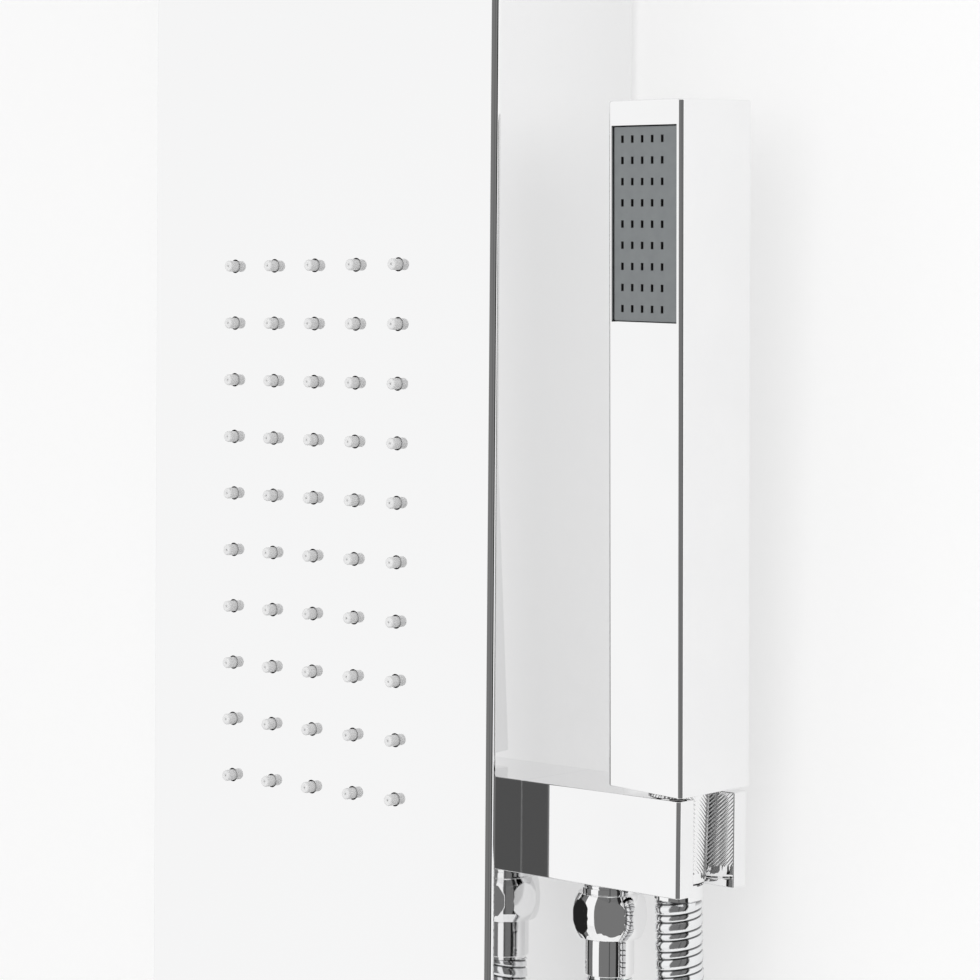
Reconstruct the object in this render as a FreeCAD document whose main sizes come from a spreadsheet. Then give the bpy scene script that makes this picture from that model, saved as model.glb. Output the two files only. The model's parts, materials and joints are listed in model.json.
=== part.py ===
import FreeCAD, Part
import math
import os
import re
import Sketcher

# Shower panel column, in millimetres: +X to the right seen from the room, +Y into the wall, +Z up.
# The origin is the middle of the upper wall bracket's screw pattern, on the wall's own plane (Y = 0).

Vector = FreeCAD.Vector
Rotation = FreeCAD.Rotation
Placement = FreeCAD.Placement

doc = FreeCAD.newDocument("ShowerPanelColumn")

# Driving dimensions

drivingSizes = [
    # folded sheet column
    ("panelWidth", 150, "width of the column"),
    ("frontOut", 65, "front face's distance from the wall"),
    ("rearGap", 1.5, "gap from the wall to the rear lips"),
    ("sheetWall", 1.5, "thickness of the folded sheet"),
    ("foldRadius", 2.5, "outer radius of the folds"),
    ("lipWidth", 14, "width of the rear lips"),
    ("columnTop", 155.5, "height of the column's upper edge"),
    ("columnBottom", -1120, "height of the column's lower edge"),
    ("fitGap", 0.2, "gap round a plate that fits inside the sheet"),
    ("capHigh", 14, "height of the bottom cap's rim"),
    # wall brackets and hanger rails
    ("bracketHalf", 55, "half of a wall bracket's width"),
    ("screwSpacing", 80, "distance between a bracket's two screws"),
    ("screwHole", 3.25, "radius of a screw hole"),
    ("lowerHang", -960, "height of the lower bracket's screws"),
    ("bracketWall", 2, "thickness of a bracket"),
    ("bracketFoot", 16, "bracket's reach below its screws"),
    ("shelfRise", 16, "underside of the bracket's shelf above its screws"),
    ("hookRise", 28.5, "hook's tip above the screws"),
    ("hookOut", 10, "hook's front distance from the wall"),
    ("railOut", 14, "rail's front distance from the wall"),
    ("railIn", 4, "rail lip's distance from the wall"),
    ("railFoot", 2, "rail's lower edge above the screws"),
    ("railTop", 30, "rail's top above the screws"),
    ("lipFoot", 22, "lower edge of the rail's lip above the screws"),
    # body jets
    ("jetTop", -120, "height of the top row of jets"),
    ("jetPitch", 18, "distance between jets, both ways"),
    ("jetHole", 2.0, "radius of a jet's hole in the sheet"),
    ("jetTip", 1.45, "radius of a nozzle's tip"),
    ("jetRoot", 1.75, "radius of a nozzle's root"),
    ("jetProud", 2.8, "how far a nozzle stands out of the sheet"),
    ("matWall", 2.5, "thickness of a nozzle mat"),
    ("chamberDeep", 18, "depth of the jets' water chamber"),
    ("chamberEdge", 11, "chamber's margin round the jets"),
    ("chamberWall", 4, "side wall of a water chamber"),
    ("chamberBackWall", 3, "back wall of a water chamber"),
    ("tailX", -30, "inlet tail's distance from the middle"),
    ("tailBack", 9, "inlet tail's distance behind the chamber's front"),
    ("tailLong", 12, "length of the inlet tail"),
    ("clampHalf", 60, "half of a clamp bar's length"),
    ("studX", 54, "clamp studs' distance from the middle"),
    ("studRadius", 2, "radius of a clamp stud"),
    # overhead rain head
    ("headTop", 180, "height of the rain head's top"),
    ("headBottom", 156, "height of the rain head's underside"),
    ("headReach", 460, "rain head's reach from the wall"),
    ("rainPitch", 22, "distance between rain nozzles"),
    ("rainBack", 210, "last rain row's distance from the wall"),
    ("rainProud", 2.5, "how far a rain nozzle stands out"),
    ("rainEdge", 8, "rain mat's margin beside the nozzles"),
    ("rainEnd", 10, "rain mat's margin past the end rows"),
    ("rainLap", 3, "how far the rain mat laps the face plate"),
    ("rainRoot", 2.2, "radius of a rain nozzle's root"),
    ("rainTip", 1.6, "radius of a rain nozzle's tip"),
    ("rainPipe", 6.5, "radius of the rain head's inlet pipe"),
    ("riserDrop", 25, "riser's foot below the column's top"),
    # valves
    ("diverterZ", -450, "height of the diverter"),
    ("thermostatZ", -620, "height of the thermostat"),
    ("valveRadius", 23, "radius of a valve's brass body"),
    ("neckRadius", 19, "radius of the neck through the sheet"),
    ("boreRadius", 17, "radius of a cartridge bore"),
    ("spindleRadius", 4, "radius of a spindle"),
    ("knobRadius", 21, "radius of a knob"),
    ("knobFront", 111, "knob's front distance from the wall"),
    ("knobBack", 74, "knob's back distance from the wall"),
    ("roseRadius", 30, "radius of a knob's rose"),
    ("portRadius", 11, "radius of a valve's ports"),
    ("portOut", 29, "ports' distance from the wall"),
    ("portEnd", 38, "ports' ends from the valve's axis"),
    ("portLong", 26, "length of a port"),
    ("neckLong", 7, "length of the neck before the sheet's inside"),
    ("barrelLong", 46, "length of a valve's barrel"),
    ("nutWall", 5, "thickness of a flat nut"),
    ("roseDeep", 8, "depth of a rose"),
    ("roseMouth", 13, "radius of a rose's hole"),
    ("roseWall", 2, "wall of a rose"),
    ("spindleBack", 46, "spindle's inner end from the wall"),
    ("knobSocket", 18, "depth of a knob's spindle hole"),
    ("setScrewIn", 9, "set screw's distance before a knob's back"),
    ("setScrewRadius", 2, "radius of a set screw"),
    ("fluteRadius", 3, "radius of a knob's flute"),
    ("fluteCut", 2.2, "flute's axis outside the knob's radius"),
    ("fluteLong", 24, "length of a flute from before the knob's front"),
    ("inletX", 52, "inlets' distance from the middle"),
    ("inletThread", 10.48, "radius of an inlet's half inch thread"),
    ("inletDrop", 24, "inlet pipe's length below the thermostat"),
    ("inletHex", 6, "height of an inlet's hexagon"),
    ("inletLong", 14, "length of an inlet's thread"),
    # outlet arm, which is the hand shower's holder too
    ("armTop", -273.5, "height of the arm's top"),
    ("armHigh", 28, "height of the arm"),
    ("armReach", 60, "arm's length from the side face"),
    ("armFront", 50.8, "arm's front distance from the wall"),
    ("armDeep", 32, "arm's depth"),
    ("slotRadius", 9.3, "half of the slot's width"),
    ("slotX", 121.7, "centre of the slot's round end"),
    ("slotOut", 34.6, "slot's distance from the wall"),
    ("outletX", 96, "outlet's distance from the middle"),
    ("spigotRadius", 10, "radius of the arm's spigot"),
    ("spigotLong", 16, "length of the spigot behind the side face"),
    ("waterRadius", 4.5, "radius of the arm's waterway"),
    ("armCorner", 0.8, "bevel on the arm's end corners"),
    ("elbowX", 51, "supply elbow's distance from the middle"),
    ("elbowRadius", 8, "radius of the supply elbow"),
    ("nippleRadius", 8.3, "radius of the outlet nipple"),
    ("nippleLong", 12, "length of the outlet nipple"),
    ("nutDrop", 4.6, "swivel nut's top below the arm"),
    ("nutHigh", 13.3, "height of the swivel nut"),
    ("ferruleLong", 12.2, "lower ferrule's length below the swivel nut"),
    # hand shower, in its own upright frame
    ("handX", 122, "middle of the hand shower's foot"),
    ("handOut", 34.8, "foot's distance from the wall"),
    ("handZ", -271.7, "height of the foot"),
    ("handTurn", -5, "turn about its own length, degrees"),
    ("handForward", 2.28, "lean towards the room, degrees"),
    ("handAside", 1.2, "lean away from the column, degrees"),
    ("handSide", 29, "side of the square bar"),
    ("handHigh", 198.5, "length of the bar"),
    ("handWall", 2, "wall of the bar"),
    ("plateWide", 25, "width of the spray plate"),
    ("plateHigh", 55.4, "height of the spray plate"),
    ("plateDrop", 7.6, "plate's distance below the top"),
    ("sprayPitchX", 4.1, "spray slits' spacing across"),
    ("sprayPitchZ", 5.94, "spray slits' spacing up"),
    ("coneTop", 9, "radius of the cone nut's top"),
    ("coneFoot", 8, "radius of the cone nut's foot"),
    ("coneHigh", 27.5, "length of the cone nut"),
    ("coneGap", 0.3, "gap from the cone nut to the foot"),
    ("coneThread", 6.5, "radius of the cone nut's thread"),
    # hoses
    ("hoseRadius", 7, "radius of the shower hose"),
    ("innerHose", 6, "radius of the hoses inside the column"),
]

dims = doc.addObject("Spreadsheet::Sheet", "dims")
for row, (alias, number, note) in enumerate(drivingSizes, 1):
    dims.set(f"A{row}", note)
    dims.set(f"B{row}", str(number))
    dims.setAlias(f"B{row}", alias)
doc.recompute()
aliases = {alias for alias, number, note in drivingSizes}
nodes = []


def size(alias):
    return float(dims.get(alias))


def formula(text):
    """The text with each alias pointed at the sheet."""
    return re.sub(r"[A-Za-z]\w*", lambda m: "dims." + m[0] if m[0] in aliases else m[0], str(text))


def bind(thing, field, text):
    thing.setExpression(field, formula(text))


def keep(thing, label):
    """Makes a finished object one of the assembly's sub-parts."""
    thing.Label = label
    nodes.append(thing)
    return thing


# Plain solids and their sums

alongAxis = {
    "x": Rotation(Vector(0, 1, 0), 90),
    "y": Rotation(Vector(1, 0, 0), -90),
    "z": Rotation(),
}


def seat(thing, x, y, z, axis="z"):
    thing.Placement = Placement(Vector(), alongAxis[axis])
    for letter, text in zip("xyz", (x, y, z)):
        bind(thing, f"Placement.Base.{letter}", text)
    return thing


def block(name, x, y, z):
    """A box between two formulas on each axis."""
    thing = doc.addObject("Part::Box", name)
    for field, (low, high) in zip(("Length", "Width", "Height"), (x, y, z)):
        bind(thing, field, f"({high}) - ({low})")
    return seat(thing, x[0], y[0], z[0])


def rod(name, axis, radius, x, y, z, length):
    thing = doc.addObject("Part::Cylinder", name)
    bind(thing, "Radius", radius)
    bind(thing, "Height", length)
    return seat(thing, x, y, z, axis)


def cone(name, axis, footRadius, topRadius, x, y, z, length):
    thing = doc.addObject("Part::Cone", name)
    bind(thing, "Radius1", footRadius)
    bind(thing, "Radius2", topRadius)
    bind(thing, "Height", length)
    return seat(thing, x, y, z, axis)


def hexagon(name, axis, cornerRadius, x, y, z, length):
    thing = doc.addObject("Part::Prism", name)
    thing.Polygon = 6
    bind(thing, "Circumradius", cornerRadius)
    bind(thing, "Height", length)
    return seat(thing, x, y, z, axis)


def ball(name, radius, x, y, z):
    thing = doc.addObject("Part::Sphere", name)
    bind(thing, "Radius", radius)
    return seat(thing, x, y, z)


def fuse(name, *solids):
    thing = doc.addObject("Part::MultiFuse", name)
    thing.Shapes = list(solids)
    return thing


def cut(name, base, *tools):
    thing = doc.addObject("Part::Cut", name)
    thing.Base = base
    thing.Tool = tools[0] if len(tools) == 1 else fuse(name + "Tools", *tools)
    return thing


def common(name, first, second):
    thing = doc.addObject("Part::MultiCommon", name)
    thing.Shapes = [first, second]
    return thing


def group(name, solids):
    """Alike pieces that stay separate solids in one node."""
    thing = doc.addObject("Part::Compound", name)
    thing.Links = list(solids)
    return thing


# Sketched bodies


def newBody(name):
    return doc.addObject("PartDesign::Body", name)


def newSketch(body, name, plane, offset="0"):
    """A sketch on one of the body's own origin planes, moved along the plane's normal."""
    sketch = body.newObject("Sketcher::SketchObject", name)
    datum = next(f for f in body.Origin.OriginFeatures if f.Role == plane)
    sketch.AttachmentSupport = [(datum, "")]
    sketch.MapMode = "FlatFace"
    bind(sketch, "AttachmentOffset.Base.z", offset)
    return sketch


def holdPoint(sketch, geometry, point, x, y):
    for kind, text in (("DistanceX", x), ("DistanceY", y)):
        index = sketch.addConstraint(Sketcher.Constraint(kind, -1, 1, geometry, point, 1.0))
        bind(sketch, f"Constraints[{index}]", text)


def outline(sketch, corners):
    """A closed outline of straight edges, each corner held by two formulas."""
    count = len(corners)
    first = sketch.GeometryCount
    turn = 2 * math.pi / count
    spots = [Vector(math.cos(i * turn), math.sin(i * turn), 0) for i in range(count)]
    for i in range(count):
        sketch.addGeometry(Part.LineSegment(spots[i], spots[(i + 1) % count]), False)
    for i in range(count):
        following = first + (i + 1) % count
        sketch.addConstraint(Sketcher.Constraint("Coincident", first + i, 2, following, 1))
    for i, (x, y) in enumerate(corners):
        holdPoint(sketch, first + i, 1, x, y)


def ring(sketch, x, y, radius):
    index = sketch.addGeometry(Part.Circle(Vector(), Vector(0, 0, 1), 1.0), False)
    holdPoint(sketch, index, 3, x, y)
    held = sketch.addConstraint(Sketcher.Constraint("Radius", index, 1.0))
    bind(sketch, f"Constraints[{held}]", radius)


def pad(body, sketch, length, reverse=False):
    feature = body.newObject("PartDesign::Pad", sketch.Name + "Pad")
    feature.Profile = sketch
    feature.Reversed = reverse
    bind(feature, "Length", length)
    sketch.Visibility = False
    return feature


def pocket(body, sketch, length, reverse=False):
    feature = body.newObject("PartDesign::Pocket", sketch.Name + "Pocket")
    feature.Profile = sketch
    feature.Reversed = reverse
    bind(feature, "Length", length)
    return feature


def roundEdges(body, name, radius, chosen):
    """Rounds the edges of the body's tip that the test picks."""
    doc.recompute()
    tip = body.Tip
    edges = [f"Edge{i}" for i, edge in enumerate(tip.Shape.Edges, 1) if chosen(edge)]
    feature = body.newObject("PartDesign::Fillet", name)
    feature.Base = (tip, edges)
    bind(feature, "Radius", radius)
    return feature


def bevelEdges(body, name, width, chosen):
    doc.recompute()
    tip = body.Tip
    edges = [f"Edge{i}" for i, edge in enumerate(tip.Shape.Edges, 1) if chosen(edge)]
    feature = body.newObject("PartDesign::Chamfer", name)
    feature.Base = (tip, edges)
    bind(feature, "Size", width)
    return feature


def runsAlong(edge, axis, *spots):
    """Whether a straight edge runs along an axis through one of the given (u, v) spots."""
    ends = [v.Point for v in edge.Vertexes]
    if len(ends) < 2 or not isinstance(edge.Curve, (Part.Line, Part.LineSegment)):
        return False
    others = [k for k in range(3) if k != "xyz".index(axis)]
    if any(abs(ends[0][k] - ends[1][k]) > 0.01 for k in others):
        return False
    near = (ends[0][others[0]], ends[0][others[1]])
    return any(math.dist(near, spot) < 0.02 for spot in spots)


# Column: one folded sheet, open at the back

jetSpots = [(row, place) for row in range(10) for place in range(-2, 3)]

column = newBody("folded_sheet")
foldProfile = newSketch(column, "foldProfile", "XY_Plane", "columnBottom")
half = "panelWidth / 2"
rightFold = [
    (half, "-frontOut"),
    (half, "-rearGap"),
    (f"{half} - lipWidth", "-rearGap"),
    (f"{half} - lipWidth", "-rearGap - sheetWall"),
    (f"{half} - sheetWall", "-rearGap - sheetWall"),
    (f"{half} - sheetWall", "-frontOut + sheetWall"),
]
leftFold = [(f"-({x})", y) for x, y in reversed(rightFold)]
outline(foldProfile, rightFold + leftFold)
pad(column, foldProfile, "columnTop - columnBottom")

outside = size("panelWidth") / 2
inside = outside - size("sheetWall")
frontFace, rearFace = -size("frontOut"), -size("rearGap")
outerFolds = [(side * outside, y) for side in (-1, 1) for y in (frontFace, rearFace)]
innerFolds = [
    (side * inside, y)
    for side in (-1, 1)
    for y in (frontFace + size("sheetWall"), rearFace - size("sheetWall"))
]
roundEdges(column, "outerFolds", "foldRadius", lambda e: runsAlong(e, "z", *outerFolds))
roundEdges(column, "innerFolds", "foldRadius - sheetWall", lambda e: runsAlong(e, "z", *innerFolds))

frontHoles = newSketch(column, "frontHoles", "XZ_Plane", "frontOut")
for z in ("diverterZ", "thermostatZ"):
    ring(frontHoles, "0", z, "neckRadius + 0.5")
pocket(column, frontHoles, "sheetWall + 1")
sideHole = newSketch(column, "sideHole", "YZ_Plane", half)
ring(sideHole, "-slotOut", "armTop - armHigh / 2", "spigotRadius + 0.3")
pocket(column, sideHole, "sheetWall + 1")
jetHoles = []
for row, place in jetSpots:
    hole = doc.addObject("Part::Prism", f"jetHole{row}_{place + 2}")
    hole.Polygon = 12
    bind(hole, "Circumradius", "jetHole")
    bind(hole, "Height", "sheetWall + 2")
    jetHoles.append(seat(hole, f"{place} * jetPitch", "-frontOut - 1", f"jetTop - {row} * jetPitch", "y"))
keep(cut("column_shell", column, *jetHoles), "column_shell")

capInside = f"{half} - sheetWall - fitGap"
cap = cut(
    "bottom_cap",
    block(
        "capOuter",
        (f"-({capInside})", capInside),
        ("-frontOut + sheetWall + fitGap", "-rearGap - sheetWall - fitGap"),
        ("columnBottom", "columnBottom + capHigh"),
    ),
    block(
        "capInner",
        (f"-({capInside}) + sheetWall", f"{capInside} - sheetWall"),
        ("-frontOut + 2 * sheetWall + fitGap", "0"),
        ("columnBottom + sheetWall", "columnBottom + capHigh + 1"),
    ),
)
keep(cap, "bottom_cap")

# Wall brackets and the rails that hang on them


def wallBracket(label, z):
    """A plate on the wall whose upper edge folds out and up into a hook."""
    body = newBody(label)
    side = newSketch(body, label + "Side", "YZ_Plane", "-bracketHalf")
    outline(
        side,
        [
            ("0", f"{z} - bracketFoot"),
            ("0", f"{z} + shelfRise + bracketWall"),
            ("-hookOut + bracketWall", f"{z} + shelfRise + bracketWall"),
            ("-hookOut + bracketWall", f"{z} + hookRise"),
            ("-hookOut", f"{z} + hookRise"),
            ("-hookOut", f"{z} + shelfRise"),
            ("-bracketWall", f"{z} + shelfRise"),
            ("-bracketWall", f"{z} - bracketFoot"),
        ],
    )
    pad(body, side, "2 * bracketHalf")
    holes = newSketch(body, label + "Holes", "XZ_Plane", "bracketWall")
    for x in ("-screwSpacing / 2", "screwSpacing / 2"):
        ring(holes, x, z, "screwHole")
    pocket(body, holes, "bracketWall + 1")
    keep(body, label)


def hangerRail(label, z):
    """A rail welded between the column's sides, with a lip that drops behind the bracket's hook."""
    body = newBody(label)
    railHalf = f"{half} - sheetWall"
    side = newSketch(body, label + "Side", "YZ_Plane", f"-({railHalf})")
    outline(
        side,
        [
            ("-railOut", f"{z} + railFoot"),
            ("-railOut", f"{z} + railTop"),
            ("-railIn", f"{z} + railTop"),
            ("-railIn", f"{z} + lipFoot"),
            ("-railIn - sheetWall", f"{z} + lipFoot"),
            ("-railIn - sheetWall", f"{z} + railTop - sheetWall"),
            ("-railOut + sheetWall", f"{z} + railTop - sheetWall"),
            ("-railOut + sheetWall", f"{z} + railFoot"),
        ],
    )
    pad(body, side, f"2 * ({railHalf})")
    keep(body, label)


for place, height in (("upper", "0"), ("lower", "lowerHang")):
    wallBracket(f"{place}_wall_bracket", height)
    hangerRail(f"{place}_hanger_rail", height)

# Nozzle mats and water chambers


def nozzle(name, axis, sides, rootRadius, tipRadius, foot, proud):
    """A soft nozzle, tapered to its tip, as a few-sided loft."""
    thing = doc.addObject("Part::Feature", name)
    rings = []
    for radius, rise in ((rootRadius, 0), (tipRadius, proud)):
        corners = []
        for i in range(sides + 1):
            angle = 2 * math.pi * (i % sides) / sides
            corners.append(Vector(radius * math.cos(angle), radius * math.sin(angle), rise))
        rings.append(Part.makePolygon(corners))
    thing.Shape = Part.makeLoft(rings, True, True)
    thing.Placement = Placement(foot, axis)
    return thing


towardsRoom = Rotation(Vector(1, 0, 0), 90)
downwards = Rotation(Vector(1, 0, 0), 180)
jetEdge = "2 * jetPitch + chamberEdge"
jetLow = "jetTop - 9 * jetPitch - chamberEdge"
insideFront = "-frontOut + sheetWall"

matPlate = block(
    "jetMatPlate",
    (f"-({jetEdge})", jetEdge),
    (insideFront, f"{insideFront} + matWall"),
    (jetLow, "jetTop + chamberEdge"),
)
jetNozzles = []
pitch = size("jetPitch")
sheetInside = frontFace + size("sheetWall")
sunk = 0.5  # how far a nozzle starts inside its mat
for row, place in jetSpots:
    foot = Vector(place * pitch, sheetInside + sunk, size("jetTop") - row * pitch)
    reach = size("jetProud") + size("sheetWall") + sunk
    name = f"jetNozzle{row}_{place + 2}"
    jetNozzles.append(nozzle(name, towardsRoom, 8, size("jetRoot"), size("jetTip"), foot, reach))
keep(fuse("jet_nozzle_mat", matPlate, *jetNozzles), "jet_nozzle_mat")

chamberFront = f"{insideFront} + matWall"
chamberBack = f"{chamberFront} + chamberDeep"
jetChamber = cut(
    "jetChamber",
    fuse(
        "jetChamberOuter",
        block("jetBox", (f"-({jetEdge})", jetEdge), (chamberFront, chamberBack), (jetLow, "jetTop + chamberEdge")),
        rod("jetTail", "z", "8", "tailX", f"{chamberFront} + tailBack", f"{jetLow} - tailLong", "tailLong + 2"),
    ),
    block(
        "jetHollow",
        (f"-({jetEdge}) + chamberWall", f"{jetEdge} - chamberWall"),
        (chamberFront, f"{chamberBack} - chamberBackWall"),
        (f"{jetLow} + chamberWall", "jetTop + chamberEdge - chamberWall"),
    ),
)
keep(jetChamber, "jet_water_chamber")

clampBars = []
clampScrews = []
for number, z in enumerate(("jetTop - 0.5 * jetPitch", "jetTop - 4.5 * jetPitch", "jetTop - 8.5 * jetPitch")):
    barBack = f"{chamberBack} + 2"
    bar = block(f"clampBar{number}", ("-clampHalf", "clampHalf"), (chamberBack, barBack), (f"{z} - 5", f"{z} + 5"))
    holes = []
    for side, x in (("left", "-studX"), ("right", "studX")):
        mark = f"{number}{side}"
        holes.append(rod("clampHole" + mark, "y", "studRadius + 0.2", x, chamberBack, z, "2"))
        stud = rod("clampStud" + mark, "y", "studRadius", x, insideFront, z, "matWall + chamberDeep + 6")
        nut = hexagon("clampNut" + mark, "y", "2 * studRadius", x, barBack, z, "3")
        clampScrews.append(fuse("clampFastener" + mark, stud, nut))
    clampBars.append(cut(f"clampBarHoled{number}", bar, *holes))
keep(group("chamber_clamp_bars", clampBars), "chamber_clamp_bars")
keep(group("clamp_studs_and_nuts", clampScrews), "clamp_studs_and_nuts")

# Overhead rain head

headShell = newBody("rain_head_shell")
headProfile = newSketch(headShell, "headProfile", "XY_Plane", "headBottom")
outline(
    headProfile,
    [(half, "-headReach"), (half, "-rearGap"), (f"-{half}", "-rearGap"), (f"-{half}", "-headReach")],
)
pad(headShell, headProfile, "headTop - headBottom")
headFront = -size("headReach")
roundEdges(
    headShell,
    "headFolds",
    "foldRadius",
    lambda e: runsAlong(e, "z", *[(s * outside, y) for s in (-1, 1) for y in (headFront, rearFace)])
    or runsAlong(e, "x", (headFront, size("headTop")))
    or runsAlong(e, "y", *[(s * outside, size("headTop")) for s in (-1, 1)]),
)
headHollow = newSketch(headShell, "headHollow", "XY_Plane", "headBottom")
headInner = f"{half} - sheetWall"
outline(
    headHollow,
    [
        (headInner, "-headReach + sheetWall"),
        (headInner, "-rearGap - sheetWall"),
        (f"-({headInner})", "-rearGap - sheetWall"),
        (f"-({headInner})", "-headReach + sheetWall"),
    ],
)
pocket(headShell, headHollow, "headTop - headBottom - sheetWall", True)
keep(headShell, "rain_head_shell")

rainHalfX = "2.5 * rainPitch + rainEdge"
rainNear = "-rainBack + rainEnd"
rainFar = "-rainBack - 9 * rainPitch - rainEnd"
facePlate = cut(
    "rain_face_plate",
    block(
        "facePlateBlank",
        (f"-({headInner}) + fitGap", f"{headInner} - fitGap"),
        ("-headReach + sheetWall + fitGap", "-frontOut - 1"),
        ("headBottom", "headBottom + sheetWall"),
    ),
    block(
        "facePlateWindow",
        (f"-({rainHalfX}) + rainLap", f"{rainHalfX} - rainLap"),
        (f"{rainFar} + rainLap", f"{rainNear} - rainLap"),
        ("headBottom - 1", "headBottom + sheetWall + 1"),
    ),
)
keep(facePlate, "rain_face_plate")

rainMatPlate = fuse(
    "rainMatPlate",
    block(
        "rainMatFlange",
        (f"-({rainHalfX})", rainHalfX),
        (rainFar, rainNear),
        ("headBottom + sheetWall", "headBottom + sheetWall + matWall"),
    ),
    block(
        "rainMatFace",
        (f"-({rainHalfX}) + rainLap + 0.3", f"{rainHalfX} - rainLap - 0.3"),
        (f"{rainFar} + rainLap + 0.3", f"{rainNear} - rainLap - 0.3"),
        ("headBottom", "headBottom + sheetWall"),
    ),
)
rainNozzles = []
rainPitch = size("rainPitch")
for row in range(10):
    for place in range(6):
        foot = Vector(
            (place - 2.5) * rainPitch,
            -size("rainBack") - row * rainPitch,
            size("headBottom") + sunk,
        )
        name = f"rainNozzle{row}_{place}"
        reach = size("rainProud") + sunk
        rainNozzles.append(nozzle(name, downwards, 6, size("rainRoot"), size("rainTip"), foot, reach))
keep(fuse("rain_nozzle_mat", rainMatPlate, *rainNozzles), "rain_nozzle_mat")

rainFloor = "headBottom + sheetWall + matWall"
rainRoof = "headTop - sheetWall - 1.5"
rainChamber = cut(
    "rain_water_chamber",
    block("rainBox", (f"-({rainHalfX})", rainHalfX), (rainFar, rainNear), (rainFloor, rainRoof)),
    block(
        "rainHollow",
        (f"-({rainHalfX}) + chamberWall", f"{rainHalfX} - chamberWall"),
        (f"{rainFar} + chamberWall", f"{rainNear} - chamberWall"),
        (rainFloor, f"{rainRoof} - chamberBackWall"),
    ),
)
keep(rainChamber, "rain_water_chamber")

rainPipeZ = f"({rainFloor} + {rainRoof}) / 2"
riserFoot = "columnTop - riserDrop"
rainElbow = fuse(
    "rain_inlet_elbow",
    rod("rainRiser", "z", "rainPipe", "0", "-portOut", riserFoot, f"{rainPipeZ} - ({riserFoot})"),
    block(
        "rainCorner",
        ("-rainPipe", "rainPipe"),
        ("-portOut - rainPipe", "-portOut + rainPipe"),
        (f"{rainPipeZ} - rainPipe", f"{rainPipeZ} + rainPipe"),
    ),
    rod("rainRun", "y", "rainPipe", "0", rainNear, rainPipeZ, f"-portOut - ({rainNear})"),
)
keep(rainElbow, "rain_inlet_elbow")

# Valves and their knobs


def valve(label, handle, z, ports):
    """A brass valve behind the sheet: body, cartridge, ring nut, rose, spindle and knob screw."""
    neck = f"{insideFront} - neckLong"
    brass = [
        rod(label + "Barrel", "y", "valveRadius", "0", insideFront, z, "barrelLong"),
        rod(label + "Neck", "y", "neckRadius", "0", neck, z, "neckLong"),
    ]
    portStarts = {
        "up": ("z", "0", f"{z} + portEnd - portLong"),
        "down": ("z", "0", f"{z} - portEnd"),
        "right": ("x", "portEnd - portLong", z),
        "left": ("x", "-portEnd", z),
    }
    for direction in ports:
        axis, portX, portZ = portStarts[direction]
        brass.append(rod(label + direction + "Port", axis, "portRadius", portX, "-portOut", portZ, "portLong"))
    bore = rod(label + "Bore", "y", "boreRadius", "0", f"{neck} - 1", z, "41")
    keep(cut(label + "_body", fuse(label + "Brass", *brass), bore), label + "_body")
    cartridge = cut(
        label + "_cartridge",
        rod(label + "Insert", "y", "boreRadius - 0.1", "0", neck, z, "39.8"),
        rod(label + "SpindleHole", "y", "spindleRadius + 0.05", "0", f"{neck} - 1", z, "27"),
    )
    keep(cartridge, label + "_cartridge")
    ringNut = cut(
        label + "_ring_nut",
        hexagon(label + "NutHex", "y", "27", "0", "-frontOut - nutWall", z, "nutWall"),
        rod(label + "NutThread", "y", "neckRadius", "0", "-frontOut - nutWall - 1", z, "nutWall + 2"),
    )
    keep(ringNut, label + "_ring_nut")
    roseBack = "-frontOut - roseDeep + roseWall"
    rose = cut(
        label + "_rose",
        rod(label + "RoseBlank", "y", "roseRadius", "0", "-frontOut - roseDeep", z, "roseDeep"),
        rod(label + "RoseHollow", "y", "roseRadius - roseWall", "0", roseBack, z, "roseDeep"),
        rod(label + "RoseMouth", "y", "roseMouth", "0", "-frontOut - roseDeep - 1", z, "roseWall + 2"),
    )
    keep(rose, label + "_rose")
    spindle = rod(
        handle + "_spindle",
        "y",
        "spindleRadius",
        "0",
        "-knobBack - knobSocket",
        z,
        "knobBack + knobSocket - spindleBack",
    )
    keep(spindle, handle + "_spindle")
    screw = rod(
        handle + "_knob_screw",
        "z",
        "setScrewRadius",
        "0",
        "-knobBack - setScrewIn",
        f"{z} - spindleRadius - 9",
        "9",
    )
    keep(screw, handle + "_knob_screw")


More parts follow.
